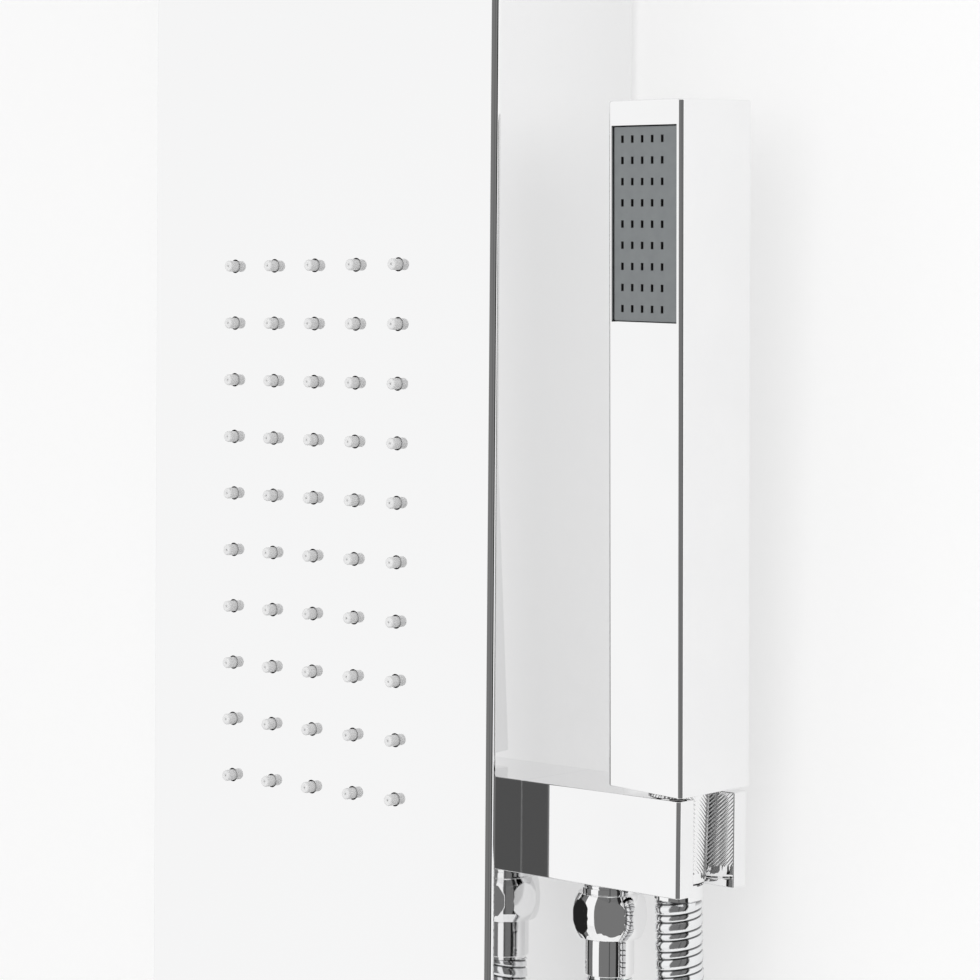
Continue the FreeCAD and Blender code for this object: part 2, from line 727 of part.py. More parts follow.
def knob(label, z, buttonSeat=False):
    """A turned knob with grip flutes round it, a blind spindle hole and a set screw hole."""
    body = newBody(label)
    section = newSketch(body, label + "Section", "YZ_Plane")
    outline(
        section,
        [
            ("-knobBack", "0"),
            ("-knobBack", "knobRadius - 2"),
            ("-knobBack - 2", "knobRadius"),
            ("-knobFront + 3", "knobRadius"),
            ("-knobFront", "knobRadius - 3"),
            ("-knobFront", "0"),
        ],
    )
    turned = body.newObject("PartDesign::Revolution", label + "Turned")
    turned.Profile = section
    turned.ReferenceAxis = (section, ["H_Axis"])
    turned.Angle = 360
    doc.recompute()
    flute = newSketch(body, label + "Flute", "XZ_Plane", "knobFront + 1")
    ring(flute, "(knobRadius + fluteCut) * cos(60)", "(knobRadius + fluteCut) * sin(60)", "fluteRadius")
    carved = pocket(body, flute, "fluteLong")
    doc.recompute()
    around = body.newObject("PartDesign::PolarPattern", label + "Flutes")
    around.Originals = [carved]
    around.Axis = (flute, ["N_Axis"])
    around.Angle = 360
    around.Occurrences = 6
    body.Tip = around
    doc.recompute()
    hole = newSketch(body, label + "Hole", "XZ_Plane", "knobBack")
    ring(hole, "0", "0", "spindleRadius")
    pocket(body, hole, "knobSocket", True)
    setHole = newSketch(body, label + "SetHole", "XY_Plane", "-knobRadius - 1")
    ring(setHole, "0", "-knobBack - setScrewIn", "setScrewRadius + 0.2")
    pocket(body, setHole, "knobRadius - 2", True)
    if buttonSeat:
        seatSketch = newSketch(body, label + "ButtonSeat", "XY_Plane", "knobRadius + 1")
        outline(
            seatSketch,
            [("-4", "-knobBack - 16"), ("4", "-knobBack - 16"), ("4", "-knobBack - 4"), ("-4", "-knobBack - 4")],
        )
        pocket(body, seatSketch, "9")
    bind(body, "Placement.Base.z", z)
    keep(body, label)


valve("diverter", "diverter", "diverterZ", ("up", "down", "left", "right"))
knob("diverter_knob", "diverterZ")
valve("thermostat", "temperature", "thermostatZ", ("up", "left", "right"))
knob("temperature_knob", "thermostatZ", True)
button = block(
    "safety_stop_button",
    ("-3.7", "3.7"),
    ("-knobBack - 15.7", "-knobBack - 4.3"),
    ("thermostatZ + knobRadius - 5", "thermostatZ + knobRadius + 1.5"),
)
keep(button, "safety_stop_button")

linkPipe = rod(
    "valve_link_pipe",
    "z",
    "8",
    "0",
    "-portOut",
    "thermostatZ + portEnd",
    "diverterZ - thermostatZ - 2 * portEnd",
)
keep(linkPipe, "valve_link_pipe")

hexFoot = "thermostatZ - inletDrop - inletHex"
for label, side in (("cold_inlet_union", 1), ("hot_inlet_union", -1)):
    runStart = "portEnd" if side == 1 else "-inletX"
    inletPlace = (f"{side} * inletX", "-portOut")
    union = fuse(
        label,
        rod(label + "Run", "x", "portRadius", runStart, "-portOut", "thermostatZ", "inletX - portEnd"),
        block(
            label + "Corner",
            (f"{side} * inletX - portRadius", f"{side} * inletX + portRadius"),
            ("-portOut - portRadius", "-portOut + portRadius"),
            ("thermostatZ - portRadius", "thermostatZ + portRadius"),
        ),
        rod(label + "Drop", "z", "portRadius", *inletPlace, "thermostatZ - inletDrop", "inletDrop"),
        hexagon(label + "Hex", "z", "14.5", *inletPlace, hexFoot, "inletHex"),
        rod(label + "Thread", "z", "inletThread", *inletPlace, f"{hexFoot} - inletLong", "inletLong"),
    )
    keep(union, label)

# Hoses: straight runs joined by tangent arcs


def hoseRoute(corners, roundness=0.45):
    """A wire of runs and arcs along the corners, and its smallest arc's radius (None if it is straight)."""
    edges = []
    start = corners[0]
    smallest = None
    for before, corner, after in zip(corners, corners[1:], corners[2:]):
        back = before - corner
        ahead = after - corner
        shorter = min(back.Length, ahead.Length)
        back.normalize()
        ahead.normalize()
        halfTurn = (math.pi - back.getAngle(ahead)) / 2
        reach = roundness * shorter
        radius = reach / math.tan(halfTurn)
        smallest = radius if smallest is None else min(smallest, radius)
        bisector = (back + ahead).normalize()
        middle = corner + bisector * (radius / math.cos(halfTurn) - radius)
        arcStart = corner + back * reach
        arcEnd = corner + ahead * reach
        edges.append(Part.LineSegment(start, arcStart).toShape())
        edges.append(Part.Arc(arcStart, middle, arcEnd).toShape())
        start = arcEnd
    edges.append(Part.LineSegment(start, corners[-1]).toShape())
    return Part.Wire(edges), smallest


def hose(label, corners, radius):
    """A round tube along the route, its volume checked against section times length."""
    wire, smallest = hoseRoute(corners)
    lead = corners[1] - corners[0]
    section = Part.Wire([Part.Circle(corners[0], lead, radius).toShape()])
    tube = wire.makePipeShell([section], True, False)
    expected = math.pi * radius ** 2 * wire.Length
    share = tube.Volume / expected
    print(f"{label}: length {wire.Length:.0f}, smallest radius {smallest}, volume share {share:.4f}")
    if abs(share - 1) > 0.01:
        raise ValueError(label + " isn't its section times its length")
    thing = doc.addObject("Part::Feature", label)
    thing.Shape = tube
    keep(thing, label)


portY = -size("portOut")
diverterZ = size("diverterZ")
armMiddle = size("armTop") - size("armHigh") / 2
portReach = size("portEnd")
turnX = 58
tailX = size("tailX")
jetTailZ = size("jetTop") - 9 * pitch - size("chamberEdge") - size("tailLong")
jetTailY = sheetInside + size("matWall") + size("tailBack")
inner = size("innerHose")
hose(
    "rain_supply_hose",
    [Vector(0, portY, diverterZ + portReach), Vector(0, portY, size("columnTop") - size("riserDrop"))],
    inner,
)
hose(
    "jet_supply_hose",
    [
        Vector(-portReach, portY, diverterZ),
        Vector(-turnX, portY, diverterZ),
        Vector(-turnX, portY, diverterZ + 42),
        Vector(tailX, jetTailY, jetTailZ - 48),
        Vector(tailX, jetTailY, jetTailZ),
    ],
    inner,
)
elbowX = size("elbowX")
slotY = -size("slotOut")
elbowFoot = armMiddle - 24
hose(
    "hand_supply_hose",
    [
        Vector(portReach, portY, diverterZ),
        Vector(turnX, portY, diverterZ),
        Vector(turnX, portY, diverterZ + 44),
        Vector(elbowX, slotY, elbowFoot - 42),
        Vector(elbowX, slotY, elbowFoot),
    ],
    inner,
)

clips = []
for number, z in enumerate((-60, 40)):
    clip = cut(
        f"hoseClip{number}",
        block(f"clipBlock{number}", ("-11", "11"), ("-portOut - 8", "-portOut + 8"), (f"{z} - 5", f"{z} + 5")),
        rod(f"clipHole{number}", "z", "innerHose + 0.05", "0", "-portOut", f"{z} - 6", "12"),
    )
    clips.append(clip)
keep(group("hose_clips", clips), "hose_clips")

# Outlet arm, which holds the hand shower

arm = newBody("outlet_arm")
armPlan = newSketch(arm, "armPlan", "XY_Plane", "armTop - armHigh")
armEnd = f"{half} + armReach"
armBack = "-armFront + armDeep"
outline(armPlan, [(half, "-armFront"), (armEnd, "-armFront"), (armEnd, armBack), (half, armBack)])
pad(arm, armPlan, "armHigh")
armEndX = outside + size("armReach")
armBackY = -size("armFront") + size("armDeep")
bevelEdges(
    arm,
    "armCorners",
    "armCorner",
    lambda e: runsAlong(e, "z", (armEndX, -size("armFront")), (armEndX, armBackY)),
)
slotPlan = newSketch(arm, "slotPlan", "XY_Plane", "armTop + 1")
ring(slotPlan, "slotX", "-slotOut", "slotRadius")
pocket(arm, slotPlan, "armHigh + 2")
mouthPlan = newSketch(arm, "mouthPlan", "XY_Plane", "armTop + 1")
outline(
    mouthPlan,
    [
        ("slotX", "-slotOut - slotRadius"),
        (f"{armEnd} + 1", "-slotOut - slotRadius"),
        (f"{armEnd} + 1", "-slotOut + slotRadius"),
        ("slotX", "-slotOut + slotRadius"),
    ],
)
pocket(arm, mouthPlan, "armHigh + 2")
spigotEnd = newSketch(arm, "spigotEnd", "YZ_Plane", half)
ring(spigotEnd, "-slotOut", "armTop - armHigh / 2", "spigotRadius")
pad(arm, spigotEnd, "spigotLong", True)
waterway = newSketch(arm, "waterway", "YZ_Plane", f"{half} - spigotLong")
ring(waterway, "-slotOut", "armTop - armHigh / 2", "waterRadius")
pocket(arm, waterway, "spigotLong + outletX - panelWidth / 2", True)
drop = newSketch(arm, "drop", "XY_Plane", "armTop - armHigh")
ring(drop, "outletX", "-slotOut", "waterRadius")
pocket(arm, drop, "armHigh / 2", True)
keep(arm, "outlet_arm")

armAxis = ("-slotOut", "armTop - armHigh / 2")
gasket = cut(
    "arm_gasket",
    rod("gasketBlank", "x", "14", f"{half} - sheetWall - 1.5", *armAxis, "1.5"),
    rod("gasketHole", "x", "spigotRadius", f"{half} - sheetWall - 2", *armAxis, "3"),
)
keep(gasket, "arm_gasket")
backNut = cut(
    "arm_back_nut",
    hexagon("backNutHex", "x", "15", f"{half} - sheetWall - 1.5 - nutWall", *armAxis, "nutWall"),
    rod("backNutThread", "x", "spigotRadius", f"{half} - sheetWall - 2 - nutWall", *armAxis, "nutWall + 1"),
)
keep(backNut, "arm_back_nut")
supplyElbow = fuse(
    "arm_supply_elbow",
    rod("elbowRun", "x", "elbowRadius", "elbowX", *armAxis, f"{half} - spigotLong - elbowX"),
    block(
        "elbowCorner",
        ("elbowX - elbowRadius", "elbowX + elbowRadius"),
        ("-slotOut - elbowRadius", "-slotOut + elbowRadius"),
        ("armTop - armHigh / 2 - elbowRadius", "armTop - armHigh / 2 + elbowRadius"),
    ),
    rod("elbowDrop", "z", "elbowRadius", "elbowX", "-slotOut", "armTop - armHigh / 2 - 24", "24"),
)
keep(supplyElbow, "arm_supply_elbow")

outletSpot = ("outletX", "-slotOut")
nipple = cut(
    "outlet_nipple",
    rod("nippleBlank", "z", "nippleRadius", *outletSpot, "armTop - armHigh - nippleLong", "nippleLong"),
    rod("nippleBore", "z", "waterRadius", *outletSpot, "armTop - armHigh - nippleLong - 1", "nippleLong + 2"),
)
keep(nipple, "outlet_nipple")
nutTop = "armTop - armHigh - nutDrop"
nutForm = common(
    "hoseNutForm",
    hexagon("hoseNutHex", "z", "12.2", *outletSpot, f"{nutTop} - nutHigh", "nutHigh"),
    ball("hoseNutBall", "12.6", *outletSpot, f"{nutTop} - nutHigh / 2"),
)
keep(
    cut(
        "hose_swivel_nut",
        nutForm,
        rod("hoseNutThread", "z", "nippleRadius", *outletSpot, f"{nutTop} - 9.4", "10"),
        rod("hoseNutThroat", "z", "6.2", *outletSpot, f"{nutTop} - 14", "6"),
    ),
    "hose_swivel_nut",
)
washer = cut(
    "lower_hose_washer",
    rod("washerBlank", "z", "8.1", *outletSpot, f"{nutTop} - 9.4", "2"),
    rod("washerHole", "z", "waterRadius", *outletSpot, f"{nutTop} - 10", "4"),
)
keep(washer, "lower_hose_washer")
ferruleTop = f"{nutTop} - nutHigh"
lowerFerrule = cut(
    "lower_hose_ferrule",
    fuse(
        "lowerFerruleForm",
        rod("lowerFerruleTail", "z", "6.1", *outletSpot, f"{ferruleTop} - 1", "4.9"),
        rod("lowerFerruleSleeve", "z", "7.4", *outletSpot, f"{ferruleTop} - 11.2", "11"),
        rod("lowerFerruleNeck", "z", "6.6", *outletSpot, f"{ferruleTop} - ferruleLong", "ferruleLong - 0.2"),
    ),
    rod("lowerFerruleBore", "z", "waterRadius", *outletSpot, f"{ferruleTop} - 13", "20"),
)
keep(lowerFerrule, "lower_hose_ferrule")

# Hand shower, built upright and then leant

forward = math.radians(size("handForward"))
aside = math.radians(size("handAside"))
turn = math.radians(size("handTurn"))
handUp = Vector(math.sin(aside), -math.sin(forward), 1).normalize()
handRight = Vector(math.cos(turn), math.sin(turn), 0)
handRight = (handRight - handUp * handRight.dot(handUp)).normalize()
handPlace = Placement(
    Vector(size("handX"), -size("handOut"), size("handZ")),
    Rotation(handRight, handUp.cross(handRight), handUp, "ZXY"),
)


def lean(thing, label):
    thing.Placement = handPlace
    keep(thing, label)


handHalf = "handSide / 2"
shell = newBody("hand_shower_body")
barPlan = newSketch(shell, "barPlan", "XY_Plane")
square = [(-1, -1), (1, -1), (1, 1), (-1, 1)]
outline(barPlan, [(f"{a} * {handHalf}", f"{b} * {handHalf}") for a, b in square])
pad(shell, barPlan, "handHigh")
barEdge = size("handSide") / 2
barSpots = [(a * barEdge, b * barEdge) for a, b in square]
roundEdges(shell, "barCorners", "1.2", lambda e: runsAlong(e, "z", *barSpots))
roundEdges(
    shell,
    "barCrown",
    "0.8",
    lambda e: all(abs(v.Point.z - size("handHigh")) < 0.01 for v in e.Vertexes),
)
barHollow = newSketch(shell, "barHollow", "XY_Plane", "handWall")
outline(barHollow, [(f"{a} * ({handHalf} - handWall)", f"{b} * ({handHalf} - handWall)") for a, b in square])
pocket(shell, barHollow, "handHigh - 2 * handWall", True)
plateMiddle = "handHigh - plateDrop - plateHigh / 2"
plateWindow = newSketch(shell, "plateWindow", "XZ_Plane", f"{handHalf} + 1")
outline(
    plateWindow,
    [(f"{a} * (plateWide / 2 + 0.3)", f"{plateMiddle} + {b} * (plateHigh / 2 + 0.3)") for a, b in square],
)
pocket(shell, plateWindow, "handWall + 1.01")
footHole = newSketch(shell, "footHole", "XY_Plane")
ring(footHole, "0", "0", "coneThread")
pocket(shell, footHole, "handWall", True)
lean(shell, "hand_shower_body")

slits = []
for row in range(9):
    for place in range(5):
        x = f"({place - 2}) * sprayPitchX"
        z = f"{plateMiddle} + ({row - 4}) * sprayPitchZ"
        mark = f"{row}_{place}"
        slits.append(
            block(
                "slit" + mark,
                (f"{x} - 0.5", f"{x} + 0.5"),
                (f"-{handHalf} - 1", f"-{handHalf} + 3"),
                (f"{z} - 1", f"{z} + 1"),
            )
        )
sprayPlate = cut(
    "hand_spray_plate",
    block(
        "sprayBlank",
        ("-plateWide / 2", "plateWide / 2"),
        (f"-{handHalf} + 0.3", f"-{handHalf} + 2"),
        (f"{plateMiddle} - plateHigh / 2", f"{plateMiddle} + plateHigh / 2"),
    ),
    *slits,
)
lean(sprayPlate, "hand_spray_plate")
waterBox = cut(
    "hand_water_chamber",
    fuse(
        "handBoxAndTube",
        block(
            "handBox",
            (f"-{handHalf} + handWall", f"{handHalf} - handWall"),
            (f"-{handHalf} + 3", f"{handHalf} - handWall"),
            (f"{plateMiddle} - plateHigh / 2 - 3", "handHigh - handWall"),
        ),
        rod("handTube", "z", "6", "0", "0", "handWall + 10", f"{plateMiddle} - plateHigh / 2 - 3 - handWall - 9"),
    ),
    block(
        "handBoxHollow",
        (f"-{handHalf} + 4", f"{handHalf} - 4"),
        (f"-{handHalf} + 3", "8"),
        (f"{plateMiddle} - plateHigh / 2", "handHigh - 6"),
    ),
    rod("handTubeBore", "z", "4", "0", "0", "handWall", f"{plateMiddle} - plateHigh / 2"),
)
lean(waterBox, "hand_water_chamber")
sprayMat = block(
    "sprayMatSheet",
    (f"-{handHalf} + handWall", f"{handHalf} - handWall"),
    (f"-{handHalf} + 2", f"-{handHalf} + 3"),
    (f"{plateMiddle} - plateHigh / 2 - 3", f"{plateMiddle} + plateHigh / 2 + 3"),
)
lean(group("hand_nozzle_mat", [sprayMat]), "hand_nozzle_mat")
insert = cut(
    "hand_thread_insert",
    fuse(
        "insertForm",
        rod("insertHead", "z", "10", "0", "0", "handWall", "10"),
        rod("insertThread", "z", "coneThread", "0", "0", "-7.5", "7.5 + handWall"),
    ),
    rod("insertBore", "z", "4", "0", "0", "-8", "30"),
)
lean(insert, "hand_thread_insert")
coneNut = cut(
    "hose_cone_nut",
    cone("coneForm", "z", "coneFoot", "coneTop", "0", "0", "-coneGap - coneHigh", "coneHigh"),
    rod("coneBore", "z", "coneThread", "0", "0", "-21", "22"),
    rod("coneThroat", "z", "5.05", "0", "0", "-coneHigh - 1", "20"),
)
lean(coneNut, "hose_cone_nut")
upperWasher = cut(
    "upper_hose_washer",
    rod("upperWasherBlank", "z", "6.4", "0", "0", "-9.5", "2"),
    rod("upperWasherHole", "z", "4", "0", "0", "-10", "3"),
)
lean(upperWasher, "upper_hose_washer")
upperFerrule = cut(
    "upper_hose_ferrule",
    fuse(
        "upperFerruleForm",
        rod("bushHead", "z", "6.4", "0", "0", "-20.8", "11"),
        rod("bushNeck", "z", "5", "0", "0", "-31", "12"),
        rod("upperSleeve", "z", "7.3", "0", "0", "-33.4", "5"),
    ),
    rod("bushBore", "z", "4", "0", "0", "-34", "26"),
)
lean(upperFerrule, "upper_hose_ferrule")

# Shower hose: outlet, hanging loop, cone nut

armFoot = size("armTop") - size("armHigh")
hoseStart = Vector(size("outletX"), slotY, armFoot - size("nutDrop") - size("nutHigh") - size("ferruleLong"))
sleeveFoot = -33.4
hoseEnd = handPlace.multVec(Vector(0, 0, sleeveFoot))
hoseLead = handPlace.multVec(Vector(0, 0, sleeveFoot - 27))
hose(
    "shower_hose",
    [
        hoseStart,
        Vector(96, -34.6, -405),
        Vector(100, -34.8, -500),
        Vector(104, -35.2, -620),
        Vector(102, -36, -740),
        Vector(96, -37, -850),
        Vector(95, -37.6, -930),
        Vector(128, -38, -992),
        Vector(190, -38.4, -1014),
        Vector(250, -38.2, -985),
        Vector(276, -37.8, -925),
        Vector(272, -37, -852),
        Vector(249, -36, -755),
        Vector(213, -34, -640),
        Vector(174, -32, -540),
        Vector(142, -30.5, -450),
        Vector(125, -31.6, -365),
        hoseLead,
        hoseEnd,
    ],
    size("hoseRadius"),
)

# Check every object and write the sub-parts

doc.recompute()
for thing in doc.Objects:
    if {"Invalid", "Error"} & set(thing.State):
        raise RuntimeError(f"{thing.Label} failed: {thing.State}")
os.makedirs("parts", exist_ok=True)
for thing in nodes:
    shape = thing.Shape
    if shape.isNull() or not shape.isValid():
        raise RuntimeError(f"{thing.Label} has no valid shape")
    shape.exportStep(f"parts/{thing.Label}.step")
    print(f"{thing.Label}: {shape.Volume / 1000:.2f} cm3, {len(shape.Solids)} solid(s)")
print(len(nodes), "nodes")
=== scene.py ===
import bisect
import json
import math

import bmesh
import bpy
from mathutils import Matrix, Vector
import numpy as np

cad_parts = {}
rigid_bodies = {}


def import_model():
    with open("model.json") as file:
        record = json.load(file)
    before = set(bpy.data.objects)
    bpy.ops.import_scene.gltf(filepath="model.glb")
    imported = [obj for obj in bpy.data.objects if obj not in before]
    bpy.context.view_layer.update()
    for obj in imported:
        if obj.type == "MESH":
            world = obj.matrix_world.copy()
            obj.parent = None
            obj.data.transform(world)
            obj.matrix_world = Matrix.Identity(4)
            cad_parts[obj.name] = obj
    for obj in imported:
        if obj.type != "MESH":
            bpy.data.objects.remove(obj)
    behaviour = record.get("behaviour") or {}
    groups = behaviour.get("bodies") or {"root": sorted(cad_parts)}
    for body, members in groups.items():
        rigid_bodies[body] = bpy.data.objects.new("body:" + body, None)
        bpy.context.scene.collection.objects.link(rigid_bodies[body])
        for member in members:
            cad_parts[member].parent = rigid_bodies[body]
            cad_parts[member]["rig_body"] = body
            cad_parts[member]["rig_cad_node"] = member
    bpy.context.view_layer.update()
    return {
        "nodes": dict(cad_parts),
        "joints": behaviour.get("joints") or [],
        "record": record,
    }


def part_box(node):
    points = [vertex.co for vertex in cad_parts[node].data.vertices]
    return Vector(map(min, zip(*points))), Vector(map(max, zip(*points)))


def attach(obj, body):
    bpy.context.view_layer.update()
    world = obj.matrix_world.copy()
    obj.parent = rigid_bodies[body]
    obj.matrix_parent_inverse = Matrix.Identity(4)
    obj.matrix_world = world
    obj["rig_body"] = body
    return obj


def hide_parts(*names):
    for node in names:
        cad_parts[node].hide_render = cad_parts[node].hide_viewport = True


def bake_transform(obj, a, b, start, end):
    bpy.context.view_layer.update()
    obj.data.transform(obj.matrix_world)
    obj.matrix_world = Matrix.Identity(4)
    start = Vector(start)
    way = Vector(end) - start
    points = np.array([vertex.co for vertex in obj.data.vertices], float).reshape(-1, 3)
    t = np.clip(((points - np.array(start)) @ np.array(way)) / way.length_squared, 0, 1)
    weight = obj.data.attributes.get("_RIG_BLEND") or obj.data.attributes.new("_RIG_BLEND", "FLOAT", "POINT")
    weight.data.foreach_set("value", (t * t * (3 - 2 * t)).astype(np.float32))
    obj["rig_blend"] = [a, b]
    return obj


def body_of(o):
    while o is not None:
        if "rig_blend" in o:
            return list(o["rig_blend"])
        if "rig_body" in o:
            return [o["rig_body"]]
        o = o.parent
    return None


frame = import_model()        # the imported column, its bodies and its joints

nodes = frame["nodes"]
joints = {joint["name"]: joint for joint in frame["joints"]}
mm = 0.001               # sizes and places below are in millimetres, the studio's in metres
weld = 0.005 * mm        # points this close to each other are one point

for name in ("Cube", "Light", "Camera"):
    if name in bpy.data.objects:
        bpy.data.objects.remove(bpy.data.objects[name])

# camera, from the jets' places in the photograph

cameraSetup = {
    "focalPixels": 3027.5,
    "imagePixels": 980,
    "turn": 42.357,      # degrees to the right of straight on
    "down": 1.865,
    "roll": 0.458,
    "place": (672.25, -721.25, -140.0),
    "axisPixelY": 430,   # where the lens axis meets the picture
}


def addCamera(setup):
    camera = bpy.data.cameras.new("camera")
    camera.sensor_width = 36
    camera.lens = 36 * setup["focalPixels"] / setup["imagePixels"]
    camera.shift_y = (setup["axisPixelY"] - setup["imagePixels"] / 2) / setup["imagePixels"]
    camera.clip_start = 0.05
    holder = bpy.data.objects.new("camera", camera)
    bpy.context.scene.collection.objects.link(holder)
    aim = (
        Matrix.Rotation(math.radians(setup["turn"]), 4, "Z")
        @ Matrix.Rotation(math.radians(90 - setup["down"]), 4, "X")
        @ Matrix.Rotation(math.radians(setup["roll"]), 4, "Z")
    )
    holder.matrix_world = Matrix.Translation(Vector(setup["place"]) * mm) @ aim
    bpy.context.scene.camera = holder


addCamera(cameraSetup)
print("camera placed")

# small helpers for modelling with the operators


def startFresh():
    if bpy.context.object and bpy.context.object.mode != "OBJECT":
        bpy.ops.object.mode_set(mode="OBJECT")
    bpy.ops.object.select_all(action="DESELECT")


def nameIt(name):
    piece = bpy.context.object
    piece.name = name
    piece.data.name = name
    return piece


def select(piece):
    startFresh()
    piece.select_set(True)
    bpy.context.view_layer.objects.active = piece


def placeInMesh(piece):
    select(piece)
    bpy.ops.object.transform_apply(location=True, rotation=True, scale=True)


def applyModifier(piece, kind, **values):
    select(piece)
    modifier = piece.modifiers.new(kind.lower(), kind)
    for field, value in values.items():
        setattr(modifier, field, value)
    bpy.ops.object.modifier_apply(modifier=modifier.name)


def smooth(piece, angle):
    select(piece)
    bpy.ops.object.shade_smooth_by_angle(angle=math.radians(angle))


def joinPieces(pieces, name):
    startFresh()
    for piece in pieces:
        piece.select_set(True)
    bpy.context.view_layer.objects.active = pieces[0]
    if len(pieces) > 1:
        bpy.ops.object.join()
    return nameIt(name)


# Leaves only the faces that pass the test selected, in edit mode.
def selectFaces(piece, test):
    select(piece)
    bpy.ops.object.mode_set(mode="EDIT")
    bpy.ops.mesh.select_mode(type="FACE")
    mesh = bmesh.from_edit_mesh(piece.data)
    for face in mesh.faces:
        face.select_set(bool(test(face)))
    mesh.select_flush(True)
    bmesh.update_edit_mesh(piece.data)


def selectEdges(piece, test):
    select(piece)
    bpy.ops.object.mode_set(mode="EDIT")
    bpy.ops.mesh.select_mode(type="EDGE")
    mesh = bmesh.from_edit_mesh(piece.data)
    for edge in mesh.edges:
        edge.select_set(bool(test(edge)))
    bmesh.update_edit_mesh(piece.data)


def editAll(piece):
    select(piece)
    bpy.ops.object.mode_set(mode="EDIT")
    bpy.ops.mesh.select_all(action="SELECT")


def outwards(piece):
    editAll(piece)
    bpy.ops.mesh.remove_doubles(threshold=weld)
    bpy.ops.mesh.normals_make_consistent(inside=False)
    bpy.ops.object.mode_set(mode="OBJECT")


# A box between two corners in millimetres, its edges rounded if a bevel is given.
def block(name, low, high, bevel=0, segments=3):
    startFresh()
    middle = (Vector(low) + Vector(high)) / 2
    span = Vector(high) - Vector(low)
    bpy.ops.mesh.primitive_cube_add(size=1, location=middle * mm)
    piece = nameIt(name)
    piece.scale = span * mm
    placeInMesh(piece)
    if bevel:
        applyModifier(piece, "BEVEL", width=bevel * mm, segments=segments, limit_method="ANGLE")
    return piece


# A line of points in millimetres, left in edit mode with all of it selected, ready to be spun or extruded.
def drawnLine(name, places, closed):
    startFresh()
    bpy.ops.mesh.primitive_plane_add(size=1)
    piece = nameIt(name)
    editAll(piece)
    bpy.ops.mesh.delete(type="VERT")
    mesh = bmesh.from_edit_mesh(piece.data)
    points = [mesh.verts.new([value * mm for value in place]) for place in places]
    ends = points + points[:1] if closed else points
    for first, second in zip(ends, ends[1:]):
        mesh.edges.new((first, second))
    for point in mesh.verts:
        point.select_set(True)
    mesh.select_flush(True)
    bmesh.update_edit_mesh(piece.data)
    return piece


# A turned piece about Z: (radius, height) pairs in millimetres, bottom to top, spun round.
def turned(name, profile, sides):
    piece = drawnLine(name, [(radius, 0, height) for radius, height in profile], True)
    bpy.ops.mesh.spin(steps=sides, angle=2 * math.pi, center=(0, 0, 0), axis=(0, 0, 1))
    outwards(piece)
    return piece


def meshPiece(name, mesh):
    data = bpy.data.meshes.new(name)
    mesh.to_mesh(data)
    mesh.free()
    piece = bpy.data.objects.new(name, data)
    bpy.context.scene.collection.objects.link(piece)
    return piece


# Puts a piece made at the origin where it belongs, with its place in its mesh.
def seatPiece(piece, place):
    piece.matrix_world = place
    bpy.context.view_layer.update()
    placeInMesh(piece)


def standingAt(x, y, z):
    return Matrix.Translation(Vector((x, y, z)) * mm)


towardsFront = Matrix.Rotation(math.radians(90), 4, "X")
towardsRight = Matrix.Rotation(math.radians(90), 4, "Y")
downwards = Matrix.Rotation(math.radians(180), 4, "X")


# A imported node's low and high corners in millimetres.
def boxOf(node):
    low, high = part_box(node)
    return [value / mm for value in low], [value / mm for value in high]


# The body a piece rides on, and the imported node it stands for.
def standFor(piece, node, body):
    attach(piece, body)
    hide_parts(node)


handTurn = -5            # degrees about its own length
handUp = Vector(joints["hand_swivel"]["axis"]).normalized()
handFoot = Vector(joints["hand_swivel"]["pos_m"])


# The hand shower's own frame: its foot's middle, its length along Z, its spray face towards -Y.
def handPlacement():
    turn = math.radians(handTurn)
    right = Vector((math.cos(turn), math.sin(turn), 0))
    right = (right - handUp * right.dot(handUp)).normalized()
    back = handUp.cross(right)
    place = Matrix((right, back, handUp)).transposed().to_4x4()
    place.translation = handFoot
    return place


handPlace = handPlacement()

# shower hose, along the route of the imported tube

hoseSetup = {
    "diameter": 14.0,
    "pitch": 5.4,        # one turn of the strip: a wide band and a narrow one
    "wideShare": 0.6,
    "narrowDrop": 0.18,
    "groove": 0.5,       # depth of the grooves between the bands
    "gap": 0.16,
    "shoulder": 0.32,
    "sides": 28,
    "route": [
        (96, -34.6, -331.6),
        (96, -34.6, -405),
        (100, -34.8, -500),
        (104, -35.2, -620),
        (102, -36, -740),
        (96, -37, -850),
        (95, -37.6, -930),
        (128, -38, -992),
        (190, -38.4, -1014),
        (250, -38.2, -985),
        (276, -37.8, -925),
        (272, -37, -852),
        (249, -36, -755),
        (213, -34, -640),
        (174, -32, -540),
        (142, -30.5, -450),
        (125, -31.6, -365),
    ],
    "leadDrop": 60.4,    # where the hose comes into line with the hand shower
    "endDrop": 33.4,     # the upper ferrule's end below the hand shower's foot
}


# The points of a smooth curve through the route, read from a spline with no bevel.
def routeLine(points, name):
    data = bpy.data.curves.new(name, "CURVE")
    data.dimensions = "3D"
    data.resolution_u = 48
    spline = data.splines.new("NURBS")
    spline.points.add(len(points) - 1)
    for point, place in zip(spline.points, points):
        point.co = (*place, 1)
    spline.order_u = 3
    spline.use_endpoint_u = True
    holder = bpy.data.objects.new(name, data)
    bpy.context.scene.collection.objects.link(holder)
    bpy.context.view_layer.update()
    mesh = bpy.data.meshes.new_from_object(holder)
    line = [vertex.co.copy() for vertex in mesh.vertices]
    bpy.data.objects.remove(holder)
    bpy.data.meshes.remove(mesh)
    return line


def lengthOf(line):
    return sum((b - a).length for a, b in zip(line, line[1:]))


# The line as (distance, place, ahead, across) samples, the across direction carried along without twist.
def framesAlong(line):
    frames = []
    travelled = 0
    across = Vector((1, 0, 0))
    for i, place in enumerate(line):
        before, after = line[max(i - 1, 0)], line[min(i + 1, len(line) - 1)]
        ahead = (after - before).normalized()
        across = (across - ahead * across.dot(ahead)).normalized()
        if i:
            travelled += (place - line[i - 1]).length
        frames.append((travelled, place, ahead, across))
    return frames


